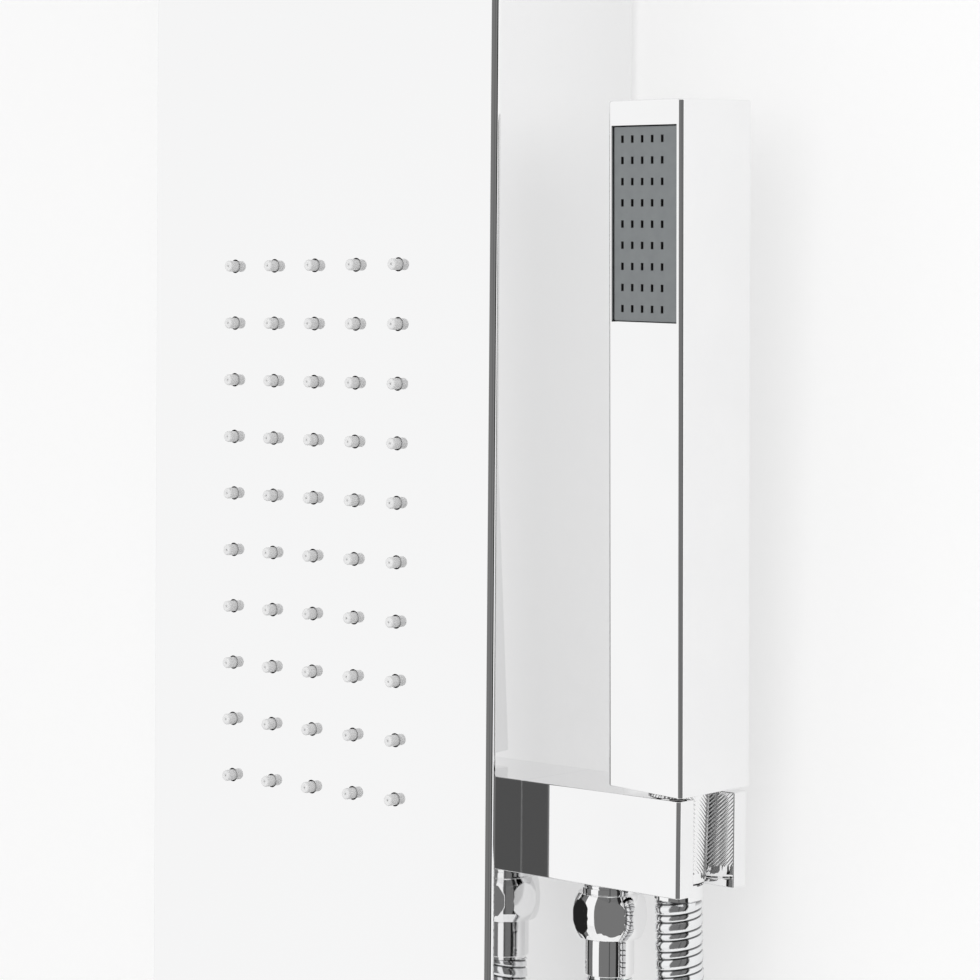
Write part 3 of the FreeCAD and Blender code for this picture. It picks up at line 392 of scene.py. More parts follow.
def frameAt(frames, starts, distance):
    index = min(max(bisect.bisect_right(starts, distance) - 1, 0), len(frames) - 2)
    here, beyond = frames[index], frames[index + 1]
    share = (distance - here[0]) / (beyond[0] - here[0])
    ahead = here[2].lerp(beyond[2], share).normalized()
    across = here[3].lerp(beyond[3], share)
    across = (across - ahead * across.dot(ahead)).normalized()
    return here[1].lerp(beyond[1], share), ahead, across


# One turn of the wound strip as (distance, radius, shade): a wide band, a narrow one, a groove after each.
# The shade is painted shade, nought at the bottom of each groove.
def stripProfile(setup, pitch):
    full = setup["diameter"] / 2 * mm
    low = full - setup["groove"] * mm
    narrow = full - setup["narrowDrop"] * mm
    gap, shoulder = setup["gap"] * mm, setup["shoulder"] * mm
    wide = pitch * setup["wideShare"]
    profile = []
    for start, end, top, shade in ((0, wide, full, 1.0), (wide, pitch, narrow, 0.6)):
        profile += [
            (start + gap, low, 0.0),
            (start + gap + shoulder, top, shade),
            (end - gap - shoulder, top, shade),
            (end - gap, low, 0.0),
        ]
    return profile


# A closed skin whose bands climb round the line like a screw thread, the painted shade of the grooves kept as
# an attribute.
def spiralSkin(name, line, length, setup):
    frames = framesAlong(line)
    starts = [frame[0] for frame in frames]
    turns = round(length / (setup["pitch"] * mm))
    pitch = length / turns
    profile = stripProfile(setup, pitch)
    rings = [
        (turn * pitch + rise, radius, shade)
        for turn in range(-1, turns + 2)
        for rise, radius, shade in profile
    ]
    low = (setup["diameter"] / 2 - setup["groove"]) * mm
    sides = setup["sides"]
    mesh = bmesh.new()
    shades = []

    def addPoint(distance, side, radius, shade):
        place, ahead, across = frameAt(frames, starts, distance)
        angle = 2 * math.pi * side / sides
        outward = across * math.cos(angle) + ahead.cross(across) * math.sin(angle)
        shades.append(shade)
        return mesh.verts.new(place + outward * radius)

    first = [addPoint(0, side, low, 0.0) for side in range(sides)]
    last = [addPoint(length, side, low, 0.0) for side in range(sides)]
    grid = []
    for rise, radius, shade in rings:
        row = []
        for side in range(sides):
            distance = rise + pitch * side / sides
            if distance <= 0:
                row.append(first[side])
            elif distance >= length:
                row.append(last[side])
            else:
                row.append(addPoint(distance, side, radius, shade))
        grid.append(row)
    perTurn = len(profile)
    for i in range(len(grid) - 1 - perTurn):
        for side in range(sides):
            if side < sides - 1:
                corners = [grid[i][side], grid[i][side + 1], grid[i + 1][side + 1], grid[i + 1][side]]
            else:
                corners = [grid[i][side], grid[i + perTurn][0], grid[i + 1 + perTurn][0], grid[i + 1][side]]
            corners = list(dict.fromkeys(corners))
            if len(corners) > 2:
                mesh.faces.new(corners)
    mesh.faces.new(list(reversed(first)))
    mesh.faces.new(last)
    piece = meshPiece(name, mesh)
    attribute = piece.data.attributes.new("shade", "FLOAT", "POINT")
    attribute.data.foreach_set("value", shades)
    smooth(piece, 60)
    return piece


def makeHose(setup):
    points = [Vector(point) * mm for point in setup["route"]]
    for drop in (setup["leadDrop"], setup["endDrop"]):
        points.append(handPlace @ (Vector((0, 0, -drop)) * mm))
    line = routeLine(points, "hoseLine")
    length = lengthOf(line)
    piece = spiralSkin("shower_hose_skin", line, length, setup)
    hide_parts("shower_hose")
    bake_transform(piece, "root", "hose_end", start=points[-5], end=points[-3])
    print(f"hose made, {length:.3f} m, {len(piece.data.polygons)} faces")
    return piece, line, length, points[0]


hose, hoseLine, hoseLength, hoseExit = makeHose(hoseSetup)

# effects that several materials share


def newGroup(name, inputs, outputs):
    tree = bpy.data.node_groups.new(name, "ShaderNodeTree")
    for label, kind, value in inputs:
        socket = tree.interface.new_socket(label, in_out="INPUT", socket_type=kind)
        if value is not None:
            socket.default_value = value
    for label, kind in outputs:
        tree.interface.new_socket(label, in_out="OUTPUT", socket_type=kind)
    return tree, tree.nodes.new("NodeGroupInput"), tree.nodes.new("NodeGroupOutput")


def mapRange(tree, source, low, high):
    node = tree.nodes.new("ShaderNodeMapRange")
    node.inputs["From Min"].default_value = low
    node.inputs["From Max"].default_value = high
    tree.links.new(source, node.inputs["Value"])
    return node.outputs["Result"]


def mixColors(tree, factor):
    mix = tree.nodes.new("ShaderNodeMix")
    mix.data_type = "RGBA"
    tree.links.new(factor, mix.inputs["Factor"])
    return mix


# A cloudy pattern whose scale is one of the group's own inputs.
def cloudIn(tree, start, scaleName):
    cloud = tree.nodes.new("ShaderNodeTexNoise")
    tree.links.new(start.outputs["Vector"], cloud.inputs["Vector"])
    tree.links.new(start.outputs[scaleName], cloud.inputs["Scale"])
    return cloud.outputs["Fac"]


def mathIn(tree, operation, *sources):
    node = tree.nodes.new("ShaderNodeMath")
    node.operation = operation
    for source, socket in zip(sources, node.inputs):
        tree.links.new(source, socket)
    return node.outputs["Value"]


def polishGroup():
    tree, start, end = newGroup(
        "polish",
        [("Vector", "NodeSocketVector", None), ("Roughness", "NodeSocketFloat", 0.05),
         ("Haze", "NodeSocketFloat", 0.03), ("Scale", "NodeSocketFloat", 14.0)],
        [("Roughness", "NodeSocketFloat")],
    )
    cloud = cloudIn(tree, start, "Scale")
    haze = mathIn(tree, "MULTIPLY_ADD", cloud, start.outputs["Haze"], start.outputs["Roughness"])
    tree.links.new(haze, end.inputs["Roughness"])
    return tree


def tintGroup():
    tree, start, end = newGroup(
        "tint",
        [("Vector", "NodeSocketVector", None), ("Base", "NodeSocketColor", (0.5, 0.5, 0.5, 1)),
         ("Other", "NodeSocketColor", (0.4, 0.4, 0.4, 1)), ("Scale", "NodeSocketFloat", 60.0),
         ("Grain", "NodeSocketFloat", 900.0)],
        [("Color", "NodeSocketColor"), ("Height", "NodeSocketFloat")],
    )
    blotch = cloudIn(tree, start, "Scale")
    mix = mixColors(tree, mapRange(tree, blotch, 0.3, 0.7))
    tree.links.new(start.outputs["Base"], mix.inputs["A"])
    tree.links.new(start.outputs["Other"], mix.inputs["B"])
    tree.links.new(mix.outputs["Result"], end.inputs["Color"])
    tree.links.new(cloudIn(tree, start, "Grain"), end.inputs["Height"])
    return tree


polish = polishGroup()
tint = tintGroup()


def newMaterial(name):
    material = bpy.data.materials.new(name)
    material.use_nodes = True
    shader = material.node_tree.nodes["Principled BSDF"]
    coordinates = material.node_tree.nodes.new("ShaderNodeTexCoord")
    return material, material.node_tree, shader, coordinates.outputs["Object"]


def placeGroup(tree, group, vector, values):
    node = tree.nodes.new("ShaderNodeGroup")
    node.node_tree = group
    tree.links.new(vector, node.inputs["Vector"])
    for field, value in values.items():
        node.inputs[field].default_value = value
    return node


def addBump(tree, shader, height, strength, distance):
    bump = tree.nodes.new("ShaderNodeBump")
    bump.inputs["Strength"].default_value = strength
    bump.inputs["Distance"].default_value = distance
    tree.links.new(height, bump.inputs["Height"])
    tree.links.new(bump.outputs["Normal"], shader.inputs["Normal"])


# Polished or plated metal: a slightly uneven tone and a faint haze over the polish.
def metalMaterial(name, color, other, roughness, haze, scale, bump=0.0):
    material, tree, shader, vector = newMaterial(name)
    shader.inputs["Metallic"].default_value = 1.0
    shade = placeGroup(tree, tint, vector, {"Base": (*color, 1), "Other": (*other, 1), "Scale": scale})
    shine = placeGroup(tree, polish, vector, {"Roughness": roughness, "Haze": haze, "Scale": scale * 2})
    tree.links.new(shade.outputs["Color"], shader.inputs["Base Color"])
    tree.links.new(shine.outputs["Roughness"], shader.inputs["Roughness"])
    if bump:
        addBump(tree, shader, shade.outputs["Height"], bump, 0.0002)
    return material


# Moulded plastic, rubber or silicone: blotched tone and a fine moulded grain.
def plainMaterial(name, color, other, roughness, haze, scale, grain, bump, coat=0.0):
    material, tree, shader, vector = newMaterial(name)
    shade = placeGroup(
        tree, tint, vector, {"Base": (*color, 1), "Other": (*other, 1), "Scale": scale, "Grain": grain}
    )
    shine = placeGroup(tree, polish, vector, {"Roughness": roughness, "Haze": haze, "Scale": scale})
    tree.links.new(shade.outputs["Color"], shader.inputs["Base Color"])
    tree.links.new(shine.outputs["Roughness"], shader.inputs["Roughness"])
    shader.inputs["Coat Weight"].default_value = coat
    addBump(tree, shader, shade.outputs["Height"], bump, 0.0002)
    return material


finishes = {
    "mirror": metalMaterial("mirrorSteel", (0.92, 0.92, 0.922), (0.91, 0.91, 0.912), 0.02, 0.02, 5.0),
    "chrome": metalMaterial("chromePlate", (0.915, 0.915, 0.917), (0.90, 0.90, 0.903), 0.03, 0.02, 40.0),
    "zinc": metalMaterial("rolledSteel", (0.56, 0.57, 0.58), (0.48, 0.49, 0.50), 0.3, 0.16, 30.0, 0.15),
    "brass": metalMaterial("castBrass", (0.72, 0.56, 0.27), (0.60, 0.45, 0.21), 0.28, 0.18, 60.0, 0.2),
    # painted shade: near-black metal for the jet holes' walls, where the holes fall into shadow
    "holeWallShade": metalMaterial("holeWallShade", (0.045, 0.045, 0.047), (0.03, 0.03, 0.032), 0.5, 0.2, 200.0, 0.2),
    "silicone": plainMaterial(
        "siliconeGrey", (0.87, 0.87, 0.87), (0.82, 0.82, 0.825), 0.4, 0.1, 260, 2600, 0.05
    ),
    "rubber": plainMaterial(
        "blackRubber", (0.022, 0.022, 0.023), (0.035, 0.035, 0.036), 0.55, 0.15, 150, 2500, 0.2
    ),
    "whitePlastic": plainMaterial(
        "whitePlastic", (0.72, 0.72, 0.70), (0.66, 0.66, 0.64), 0.38, 0.12, 70, 1800, 0.12
    ),
    "greyPlastic": plainMaterial(
        "sprayGrey", (0.215, 0.23, 0.235), (0.20, 0.213, 0.22), 0.42, 0.08, 300, 3000, 0.25
    ),
    "redPlastic": plainMaterial(
        "buttonRed", (0.50, 0.02, 0.02), (0.42, 0.015, 0.015), 0.25, 0.1, 120, 1500, 0.1, 0.3
    ),
    "dark": plainMaterial("shadowGap", (0.01, 0.01, 0.01), (0.016, 0.016, 0.016), 0.6, 0.1, 200, 1500, 0.1),
}


# Two crossing sets of steel strands over a hose.
def braidMaterial():
    material, tree, shader, vector = newMaterial("steelBraid")
    waves = []
    for tilt in (0.9, -0.9):
        mapping = tree.nodes.new("ShaderNodeMapping")
        mapping.inputs["Rotation"].default_value = (0, tilt, tilt)
        tree.links.new(vector, mapping.inputs["Vector"])
        wave = tree.nodes.new("ShaderNodeTexWave")
        wave.inputs["Scale"].default_value = 260
        tree.links.new(mapping.outputs["Vector"], wave.inputs["Vector"])
        waves.append(wave.outputs["Fac"])
    weave = mathIn(tree, "MAXIMUM", *waves)
    mix = mixColors(tree, weave)
    mix.inputs["A"].default_value = (0.22, 0.225, 0.23, 1)
    mix.inputs["B"].default_value = (0.62, 0.63, 0.64, 1)
    tree.links.new(mix.outputs["Result"], shader.inputs["Base Color"])
    shader.inputs["Metallic"].default_value = 0.8
    shader.inputs["Roughness"].default_value = 0.35
    addBump(tree, shader, weave, 0.5, 0.0004)
    return material


# Chromed bands with painted shade: the base colour goes dark in the grooves, after the shade kept on the
# skin.
def hoseMaterial():
    material, tree, shader, vector = newMaterial("hoseChrome")
    shade = tree.nodes.new("ShaderNodeAttribute")
    shade.attribute_name = "shade"
    mix = mixColors(tree, mapRange(tree, shade.outputs["Fac"], 0.0, 0.55))
    # painted shade: the dark colour for the grooves, the bright one for the bands' tops
    mix.inputs["A"].default_value = (0.12, 0.122, 0.125, 1)
    mix.inputs["B"].default_value = (0.86, 0.865, 0.875, 1)
    tree.links.new(mix.outputs["Result"], shader.inputs["Base Color"])
    shine = placeGroup(tree, polish, vector, {"Roughness": 0.1, "Haze": 0.08, "Scale": 90})
    tree.links.new(shine.outputs["Roughness"], shader.inputs["Roughness"])
    shader.inputs["Metallic"].default_value = 1.0
    return material


finishes["braid"] = braidMaterial()
finishes["hose"] = hoseMaterial()


def finish(piece, name):
    piece.data.materials.clear()
    piece.data.materials.append(finishes[name])


finish(hose, "hose")
print("materials made")

# column: the folded sheet with its fifty holes

columnSetup = {
    "wall": 1.5, "fold": 2.5, "foldSteps": 6, "lip": 14,
    "holeRadius": 2.0, "holeEdge": 0.15,
    "valveRadius": 19.5, "armRadius": 10.3, "openingEdge": 0.1, "cutDepth": 4,
}
jetSetup = {
    "columns": 5, "rows": 10, "pitch": 18.0, "top": -120.0, "mat": 2.5,
    "reach": 4.8, "tip": 1.6, "root": 1.72, "sides": 24, "orifice": 0.34,
}


# Evenly spaced places either side of nought.
def centred(count, pitch):
    return [(i - (count - 1) / 2) * pitch for i in range(count)]


def jetPlaces():
    for row in range(jetSetup["rows"]):
        for x in centred(jetSetup["columns"], jetSetup["pitch"]):
            yield x, jetSetup["top"] - row * jetSetup["pitch"]


def flatShade(piece, angle):
    smooth(piece, angle)
    applyModifier(piece, "WEIGHTED_NORMAL", weight=100, keep_sharp=True)


# The node's own solid as a clean smooth-shaded piece that stands for it.
def smoothCopy(node, name, finishName):
    source = nodes[node]
    startFresh()
    piece = source.copy()
    piece.data = source.data.copy()
    piece.name = name
    piece.data.name = name
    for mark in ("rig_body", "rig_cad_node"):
        del piece[mark]
    piece.parent = None
    bpy.context.scene.collection.objects.link(piece)
    editAll(piece)
    bpy.ops.mesh.remove_doubles(threshold=weld)
    bpy.ops.mesh.tris_convert_to_quads()
    bpy.ops.object.mode_set(mode="OBJECT")
    flatShade(piece, 30)
    finish(piece, finishName)
    standFor(piece, node, body_of(source)[0])


def booleanCut(piece, cutter):
    applyModifier(piece, "BOOLEAN", operation="DIFFERENCE", solver="EXACT", object=cutter)
    bpy.data.objects.remove(cutter)


# The piece copied to each place, each copy with its own mesh, and the first one removed.
def copies(piece, places):
    made = []
    for place in places:
        twin = piece.copy()
        twin.data = piece.data.copy()
        bpy.context.scene.collection.objects.link(twin)
        twin.matrix_world = place
        made.append(twin)
    bpy.data.objects.remove(piece)
    bpy.context.view_layer.update()
    return made


# The outer line of the fold, from the left lip round the front to the right lip.
def foldedOutline(setup):
    low, high = boxOf("column_shell")
    half, front, rear = high[0], low[1], high[1]
    lip, radius, steps = setup["lip"], setup["fold"], setup["foldSteps"]
    corners = [(-half + lip, rear), (-half, rear), (-half, front)]
    corners += [(-x, y) for x, y in reversed(corners)]
    points = [corners[0]]
    for before, corner, after in zip(corners, corners[1:], corners[2:]):
        start = (Vector(before) - Vector(corner)).normalized()
        end = (Vector(after) - Vector(corner)).normalized()
        middle = Vector(corner) + (start + end) * radius
        for i in range(steps + 1):
            swing = math.pi / 2 * i / steps
            spot = middle - end * radius * math.cos(swing) - start * radius * math.sin(swing)
            points.append((spot.x, spot.y))
    points.append(corners[-1])
    return points, low[2], high[2]


# A cutter for a hole with a broken edge: a pin that widens at its mouth, where its Z axis leaves the metal.
def pierce(radius, flare, depth, sides):
    return turned(
        "cutter",
        [(0, -depth), (radius, -depth), (radius, -flare), (radius + flare, 0), (radius + flare, 1), (0, 1)],
        sides,
    )


# Gives the faces that pass the test a second finish.
def finishSome(piece, name, test):
    piece.data.materials.append(finishes[name])
    for face in piece.data.polygons:
        if test(face):
            face.material_index = len(piece.data.materials) - 1


# The faces round each jet hole's wall, which are painted dark as shade in the hole.
def byAJet(face):
    if abs(face.normal.y) > 0.9:
        return False
    across, up = face.center.x / mm, face.center.z / mm
    reach = columnSetup["holeRadius"] + 0.4
    return any(math.hypot(across - x, up - z) < reach for x, z in jetPlaces())


def makeColumn(setup):
    points, bottom, top = foldedOutline(setup)
    piece = drawnLine("column_sheet", [(x, y, bottom) for x, y in points], False)
    bpy.ops.mesh.extrude_region_move(TRANSFORM_OT_translate={"value": (0, 0, (top - bottom) * mm)})
    bpy.ops.object.mode_set(mode="OBJECT")
    front = min(piece.data.polygons, key=lambda face: face.center.y)
    if front.normal.y > 0:
        editAll(piece)
        bpy.ops.mesh.flip_normals()
        bpy.ops.object.mode_set(mode="OBJECT")
    applyModifier(piece, "SOLIDIFY", thickness=setup["wall"] * mm, offset=-1, use_even_offset=True)
    face = min(v.co.y for v in piece.data.vertices) / mm
    side = max(v.co.x for v in piece.data.vertices) / mm
    edge, depth = setup["openingEdge"], setup["cutDepth"]
    places = [standingAt(x, face, z) @ towardsFront for x, z in jetPlaces()]
    cutters = copies(pierce(setup["holeRadius"], setup["holeEdge"], depth, 32), places)
    for valve in ("diverter_spindle", "temperature_spindle"):
        low, high = boxOf(valve)
        place = standingAt(0, face, (low[2] + high[2]) / 2) @ towardsFront
        cutters += copies(pierce(setup["valveRadius"], edge, depth, 64), [place])
    low, high = boxOf("arm_gasket")
    place = standingAt(side, (low[1] + high[1]) / 2, (low[2] + high[2]) / 2) @ towardsRight
    cutters += copies(pierce(setup["armRadius"], edge, depth, 48), [place])
    cutter = joinPieces(cutters, "holes")
    placeInMesh(cutter)
    booleanCut(piece, cutter)
    flatShade(piece, 35)
    finish(piece, "mirror")
    # the jet holes' walls are painted near-black: painted shade in the holes
    finishSome(piece, "holeWallShade", byAJet)
    standFor(piece, "column_shell", "root")


# A soft nozzle along +Z from its foot, with a rounded tip and a small orifice.
def softNozzle(setup):
    root, tip, reach, hole = setup["root"], setup["tip"], setup["reach"], setup["orifice"]
    return turned(
        "nozzle",
        [
            (0, -0.4), (root, -0.4), (root, 0.3), (tip + 0.12, reach - 0.55), (tip, reach - 0.28),
            (tip - 0.18, reach - 0.06), (tip - 0.42, reach), (hole + 0.16, reach), (hole, reach - 0.12),
            (hole - 0.06, reach - 0.8), (0, reach - 0.8),
        ],
        setup["sides"],
    )


def makeNozzles(name, node, setup, plates, places):
    nozzles = copies(softNozzle(setup), places)
    piece = joinPieces(plates + nozzles, name)
    placeInMesh(piece)
    smooth(piece, 40)
    finish(piece, "silicone")
    standFor(piece, node, "root")


def makeJets(setup):
    low, high = boxOf("jet_nozzle_mat")
    front = high[1] - setup["mat"]
    plate = block("mat", (low[0], front, low[2]), high, 0.5, 2)
    places = [standingAt(x, front, z) @ towardsFront for x, z in jetPlaces()]
    makeNozzles("jet_nozzles", "jet_nozzle_mat", setup, [plate], places)


makeColumn(columnSetup)
print("column made")
makeJets(jetSetup)
print("jets made")

# outlet arm, which is the hand shower's holder

armSetup = {
    "left": 75.0,            # the column's side
    "edge": 0.35, "corner": 0.9, "slotRadius": 9.3, "slotX": 121.7, "slotY": -34.6,
    "spigotBore": 4.5, "spigotRadius": 10, "spigotLong": 16,
}


def makeArm(setup):
    low, high = boxOf("outlet_arm")
    left, radius, slotX, slotY = setup["left"], setup["slotRadius"], setup["slotX"], setup["slotY"]
    piece = block("outlet_arm_casting", (left, low[1], low[2]), high)
    selectEdges(
        piece,
        lambda edge: all(v.co.x > (high[0] - 0.5) * mm for v in edge.verts)
        and abs(edge.verts[0].co.z - edge.verts[1].co.z) > 1 * mm,
    )
    bpy.ops.mesh.bevel(offset=setup["corner"] * mm, segments=1, affect="EDGES")
    bpy.ops.object.mode_set(mode="OBJECT")
    cutter = turned("slot", [(0, -40), (radius, -40), (radius, 40), (0, 40)], 48)
    seatPiece(cutter, standingAt(slotX, slotY, low[2]))
    mouth = block("mouth", (slotX, slotY - radius, low[2] - 5), (high[0] + 5, slotY + radius, high[2] + 5))
    booleanCut(piece, cutter)
    booleanCut(piece, mouth)
    applyModifier(piece, "BEVEL", width=setup["edge"] * mm, segments=3, limit_method="ANGLE",
                  angle_limit=math.radians(32))
    bore, outer, long = setup["spigotBore"], setup["spigotRadius"], setup["spigotLong"]
    spigot = turned("spigot", [(bore, -long), (outer, -long), (outer, 0.2), (bore, 0.2)], 48)
    seatPiece(spigot, standingAt(left, slotY, (low[2] + high[2]) / 2) @ towardsRight)
    piece = joinPieces([piece, spigot], "outlet_arm_casting")
    flatShade(piece, 35)
    finish(piece, "chrome")
    standFor(piece, "outlet_arm", "root")


makeArm(armSetup)
print("outlet arm made")

# hose fittings

nutSetup = {
    "middleRadius": 11.1, "endRadius": 9.5, "flat": 10.2, "bore": 8.3, "throat": 6.3, "shelf": 4.2,
    "rings": 14, "bulge": 2.4, "turn": 12, "edge": 0.12, "foldAngle": 11,
}
coneSetup = {
    "foot": 8.0, "top": 9.0, "length": 27.5, "gap": 0.3, "chamfer": 0.5,
    "bore": 6.5, "throat": 5.05, "shelf": -21.0,
    "knurls": 43, "knurlDepth": 0.3, "knurlTwist": 1.25, "knurlFrom": 3.2, "knurlEnd": 0.8,
    "sides": 258, "rings": 150,
}


# A turned barrel with six flats cut on it, so that each flat shows round.
def makeBarrelNut(setup):
    low, high = boxOf("hose_swivel_nut")
    height = high[2] - low[2]
    profile = [(setup["throat"], 0)]
    for i in range(setup["rings"] + 1):
        share = 2 * i / setup["rings"] - 1
        drop = (setup["middleRadius"] - setup["endRadius"]) * abs(share) ** setup["bulge"]
        profile.append((setup["middleRadius"] - drop, height * i / setup["rings"]))
    profile += [(setup["bore"], height), (setup["bore"], setup["shelf"]), (setup["throat"], setup["shelf"])]
    piece = turned("barrel_nut", profile, 96)
    for i in range(6):
        angle = math.radians(60 * i + setup["turn"])
        normal = (math.cos(angle), math.sin(angle), 0)
        editAll(piece)
        bpy.ops.mesh.bisect(
            plane_co=[value * setup["flat"] * mm for value in normal],
            plane_no=normal, use_fill=True, clear_outer=True,
        )
        bpy.ops.object.mode_set(mode="OBJECT")
    seatPiece(piece, standingAt((low[0] + high[0]) / 2, (low[1] + high[1]) / 2, low[2]))
    applyModifier(piece, "BEVEL", width=setup["edge"] * mm, segments=2, limit_method="ANGLE",
                  angle_limit=math.radians(setup["foldAngle"]))
    flatShade(piece, setup["foldAngle"])
    finish(piece, "chrome")
    standFor(piece, "hose_swivel_nut", "root")


# The cone nut: a helical ridge pattern up its taper, a plain band and a chamfer at its foot.
def makeKnurledCone(setup):
    length, sides, rings = setup["length"], setup["sides"], setup["rings"]
    base, top = -setup["gap"] - length, -setup["gap"]
    knurled = length - setup["knurlFrom"] - setup["knurlEnd"]
    rows = [base + setup["knurlFrom"] + knurled * i / rings for i in range(rings + 1)]
    heights = [base, base + 0.6, base + setup["knurlFrom"] - 0.3] + rows + [top - 0.25, top]
    mesh = bmesh.new()

    def addRing(height, radiusAt):
        ring = []
        for side in range(sides):
            angle = 2 * math.pi * side / sides
            radius = radiusAt(angle)
            spot = Vector((radius * math.cos(angle), radius * math.sin(angle), height))
            ring.append(mesh.verts.new(spot * mm))
        return ring

    def outerRadius(height, angle):
        radius = setup["foot"] + (setup["top"] - setup["foot"]) * (height - base) / length
        if height in (base, top):
            return radius - setup["chamfer"]
        if height not in rows:
            return radius - 0.05
        wave = (setup["knurls"] * angle / (2 * math.pi) + height / setup["knurlTwist"]) % 1.0
        return radius - setup["knurlDepth"] * (1 - abs(2 * wave - 1))

    loops = [addRing(height, lambda angle: outerRadius(height, angle)) for height in heights]
    bore, throat, shelf = setup["bore"], setup["throat"], setup["shelf"]
    for radius, height in ((bore, top), (bore, shelf), (throat, shelf), (throat, base)):
        loops.append(addRing(height, lambda angle: radius))
    for lower, upper in zip(loops, loops[1:] + loops[:1]):
        for side in range(sides):
            beside = (side + 1) % sides
            mesh.faces.new((lower[side], lower[beside], upper[beside], upper[side]))
    piece = meshPiece("cone_nut", mesh)
    outwards(piece)
    smooth(piece, 50)
    seatPiece(piece, handPlace)
    finish(piece, "chrome")
    standFor(piece, "hose_cone_nut", "hand_shower")


def turnedPiece(name, node, profile, place, body):
    piece = turned(name, profile, 72)
    seatPiece(piece, place)
    smooth(piece, 30)
    finish(piece, "chrome")
    standFor(piece, node, body)


makeBarrelNut(nutSetup)
makeKnurledCone(coneSetup)
ferruleLow, ferruleHigh = boxOf("lower_hose_ferrule")
outletX, outletY = (ferruleLow[0] + ferruleHigh[0]) / 2, (ferruleLow[1] + ferruleHigh[1]) / 2
turnedPiece(
    "lower_ferrule", "lower_hose_ferrule",
    [
        (4.5, 0), (6.6, 0), (6.6, 1.0), (7.25, 1.0), (7.4, 1.2), (7.4, 11.4), (7.1, 12.0), (6.1, 12.1),
        (6.1, 16.1), (4.5, 16.1),
    ],
    standingAt(outletX, outletY, ferruleLow[2]), "root",
)
turnedPiece(
    "outlet_stub", "outlet_nipple",
    [(4.5, 0), (7.7, 0), (8.3, 0.6), (8.3, 8.9), (7.9, 9.2), (7.9, 9.8), (8.3, 10.1), (8.3, 12), (4.5, 12)],
    standingAt(outletX, outletY, boxOf("outlet_nipple")[0][2]), "root",
)
turnedPiece(
    "upper_ferrule", "upper_hose_ferrule",
    [
        (4, -33.4), (6.7, -33.4), (7.3, -32.9), (7.3, -28.8), (7.0, -28.4), (5, -28.4), (5, -20.8),
        (6.4, -20.8), (6.4, -9.8), (4, -9.8),
    ],
    handPlace, "hose_end",
)
print("fittings made")

# hand shower: the square bar, its spray window and the plate of slits

handSetup = {
    "side": 29.6, "high": 198.5, "wall": 2.0, "corner": 1.6, "crown": 0.8, "footEdge": 0.3,
    "windowWide": 25.5, "windowHigh": 55.8, "windowMiddle": 163.2, "windowEdge": 0.15, "footHole": 6.5,
}
plateSetup = {
    "wide": 25.0, "high": 55.4, "thick": 1.7, "front": -14.2, "edge": 0.25,
    "columns": 5, "rows": 9, "pitchX": 3.95, "pitchZ": 6.04, "slitWide": 0.8, "slitHigh": 1.9, "flare": 0.12,
    "shift": -1.2,       # the slits stand off the plate's middle
}


# A box that cuts a recess in a face turned to -Y and breaks its edges: it widens over the last stretch.
def flaredCutter(name, wide, high, middle, surface, depth, flare):
    low, top = middle - high / 2, middle + high / 2
    piece = block(name, (-wide / 2, surface + flare, low), (wide / 2, surface + depth, top))
    selectFaces(piece, lambda face: face.normal.y < -0.5)
    bpy.ops.mesh.extrude_region_move(TRANSFORM_OT_translate={"value": (0, -2 * flare * mm, 0)})
    bpy.ops.transform.resize(
        value=((wide + 4 * flare) / wide, 1, (high + 4 * flare) / high),
        center_override=(0, (surface - flare) * mm, middle * mm),
    )
    bpy.ops.object.mode_set(mode="OBJECT")
    return piece


def makeHandBody(setup):
    half, high, wall = setup["side"] / 2, setup["high"], setup["wall"]
    piece = block("hand_bar", (-half, -half, 0), (half, half, high))
    selectEdges(piece, lambda edge: abs(edge.verts[0].co.z - edge.verts[1].co.z) > half * mm)
    bpy.ops.mesh.bevel(offset=setup["corner"] * mm, segments=6, affect="EDGES")
    bpy.ops.object.mode_set(mode="OBJECT")
    for level, width, segments in ((high, setup["crown"], 4), (0, setup["footEdge"], 2)):
        selectEdges(piece, lambda edge: all(abs(v.co.z - level * mm) < 0.01 * mm for v in edge.verts))
        bpy.ops.mesh.bevel(offset=width * mm, segments=segments, affect="EDGES")
        bpy.ops.object.mode_set(mode="OBJECT")
    inner = half - wall
    booleanCut(piece, block("hollow", (-inner, -inner, wall), (inner, inner, high - wall)))
    wide, tall, middle = setup["windowWide"], setup["windowHigh"], setup["windowMiddle"]
    booleanCut(piece, flaredCutter("window", wide, tall, middle, -half, wall + 0.5, setup["windowEdge"]))
    hole = setup["footHole"]
    booleanCut(piece, turned("foot", [(0, -1), (hole, -1), (hole, 3), (0, 3)], 48))
    seatPiece(piece, handPlace)
    flatShade(piece, 30)
    finish(piece, "chrome")
    standFor(piece, "hand_shower_body", "hand_shower")


def makeSprayPlate(setup, middle):
    wide, high, front = setup["wide"], setup["high"], setup["front"]
    corners = (-wide / 2, front, middle - high / 2), (wide / 2, front + setup["thick"], middle + high / 2)
    piece = block("spray_plate", *corners, setup["edge"], 2)
    depth = setup["thick"] + 1
    slit = flaredCutter("slit", setup["slitWide"], setup["slitHigh"], 0, front, depth, setup["flare"])
    places = [
        standingAt(x + setup["shift"], 0, middle + z)
        for z in centred(setup["rows"], setup["pitchZ"])
        for x in centred(setup["columns"], setup["pitchX"])
    ]
    cutter = joinPieces(copies(slit, places), "slits")
    placeInMesh(cutter)
    booleanCut(piece, cutter)
    finish(piece, "greyPlastic")
    finishSome(
        piece, "dark",
        lambda face: abs(face.normal.y) < 0.9 and abs(face.center.x) < (wide / 2 - 1) * mm
        and abs(face.center.z - middle * mm) < (high / 2 - 1) * mm,
    )
    seatPiece(piece, handPlace)
    flatShade(piece, 30)
    standFor(piece, "hand_spray_plate", "hand_shower")


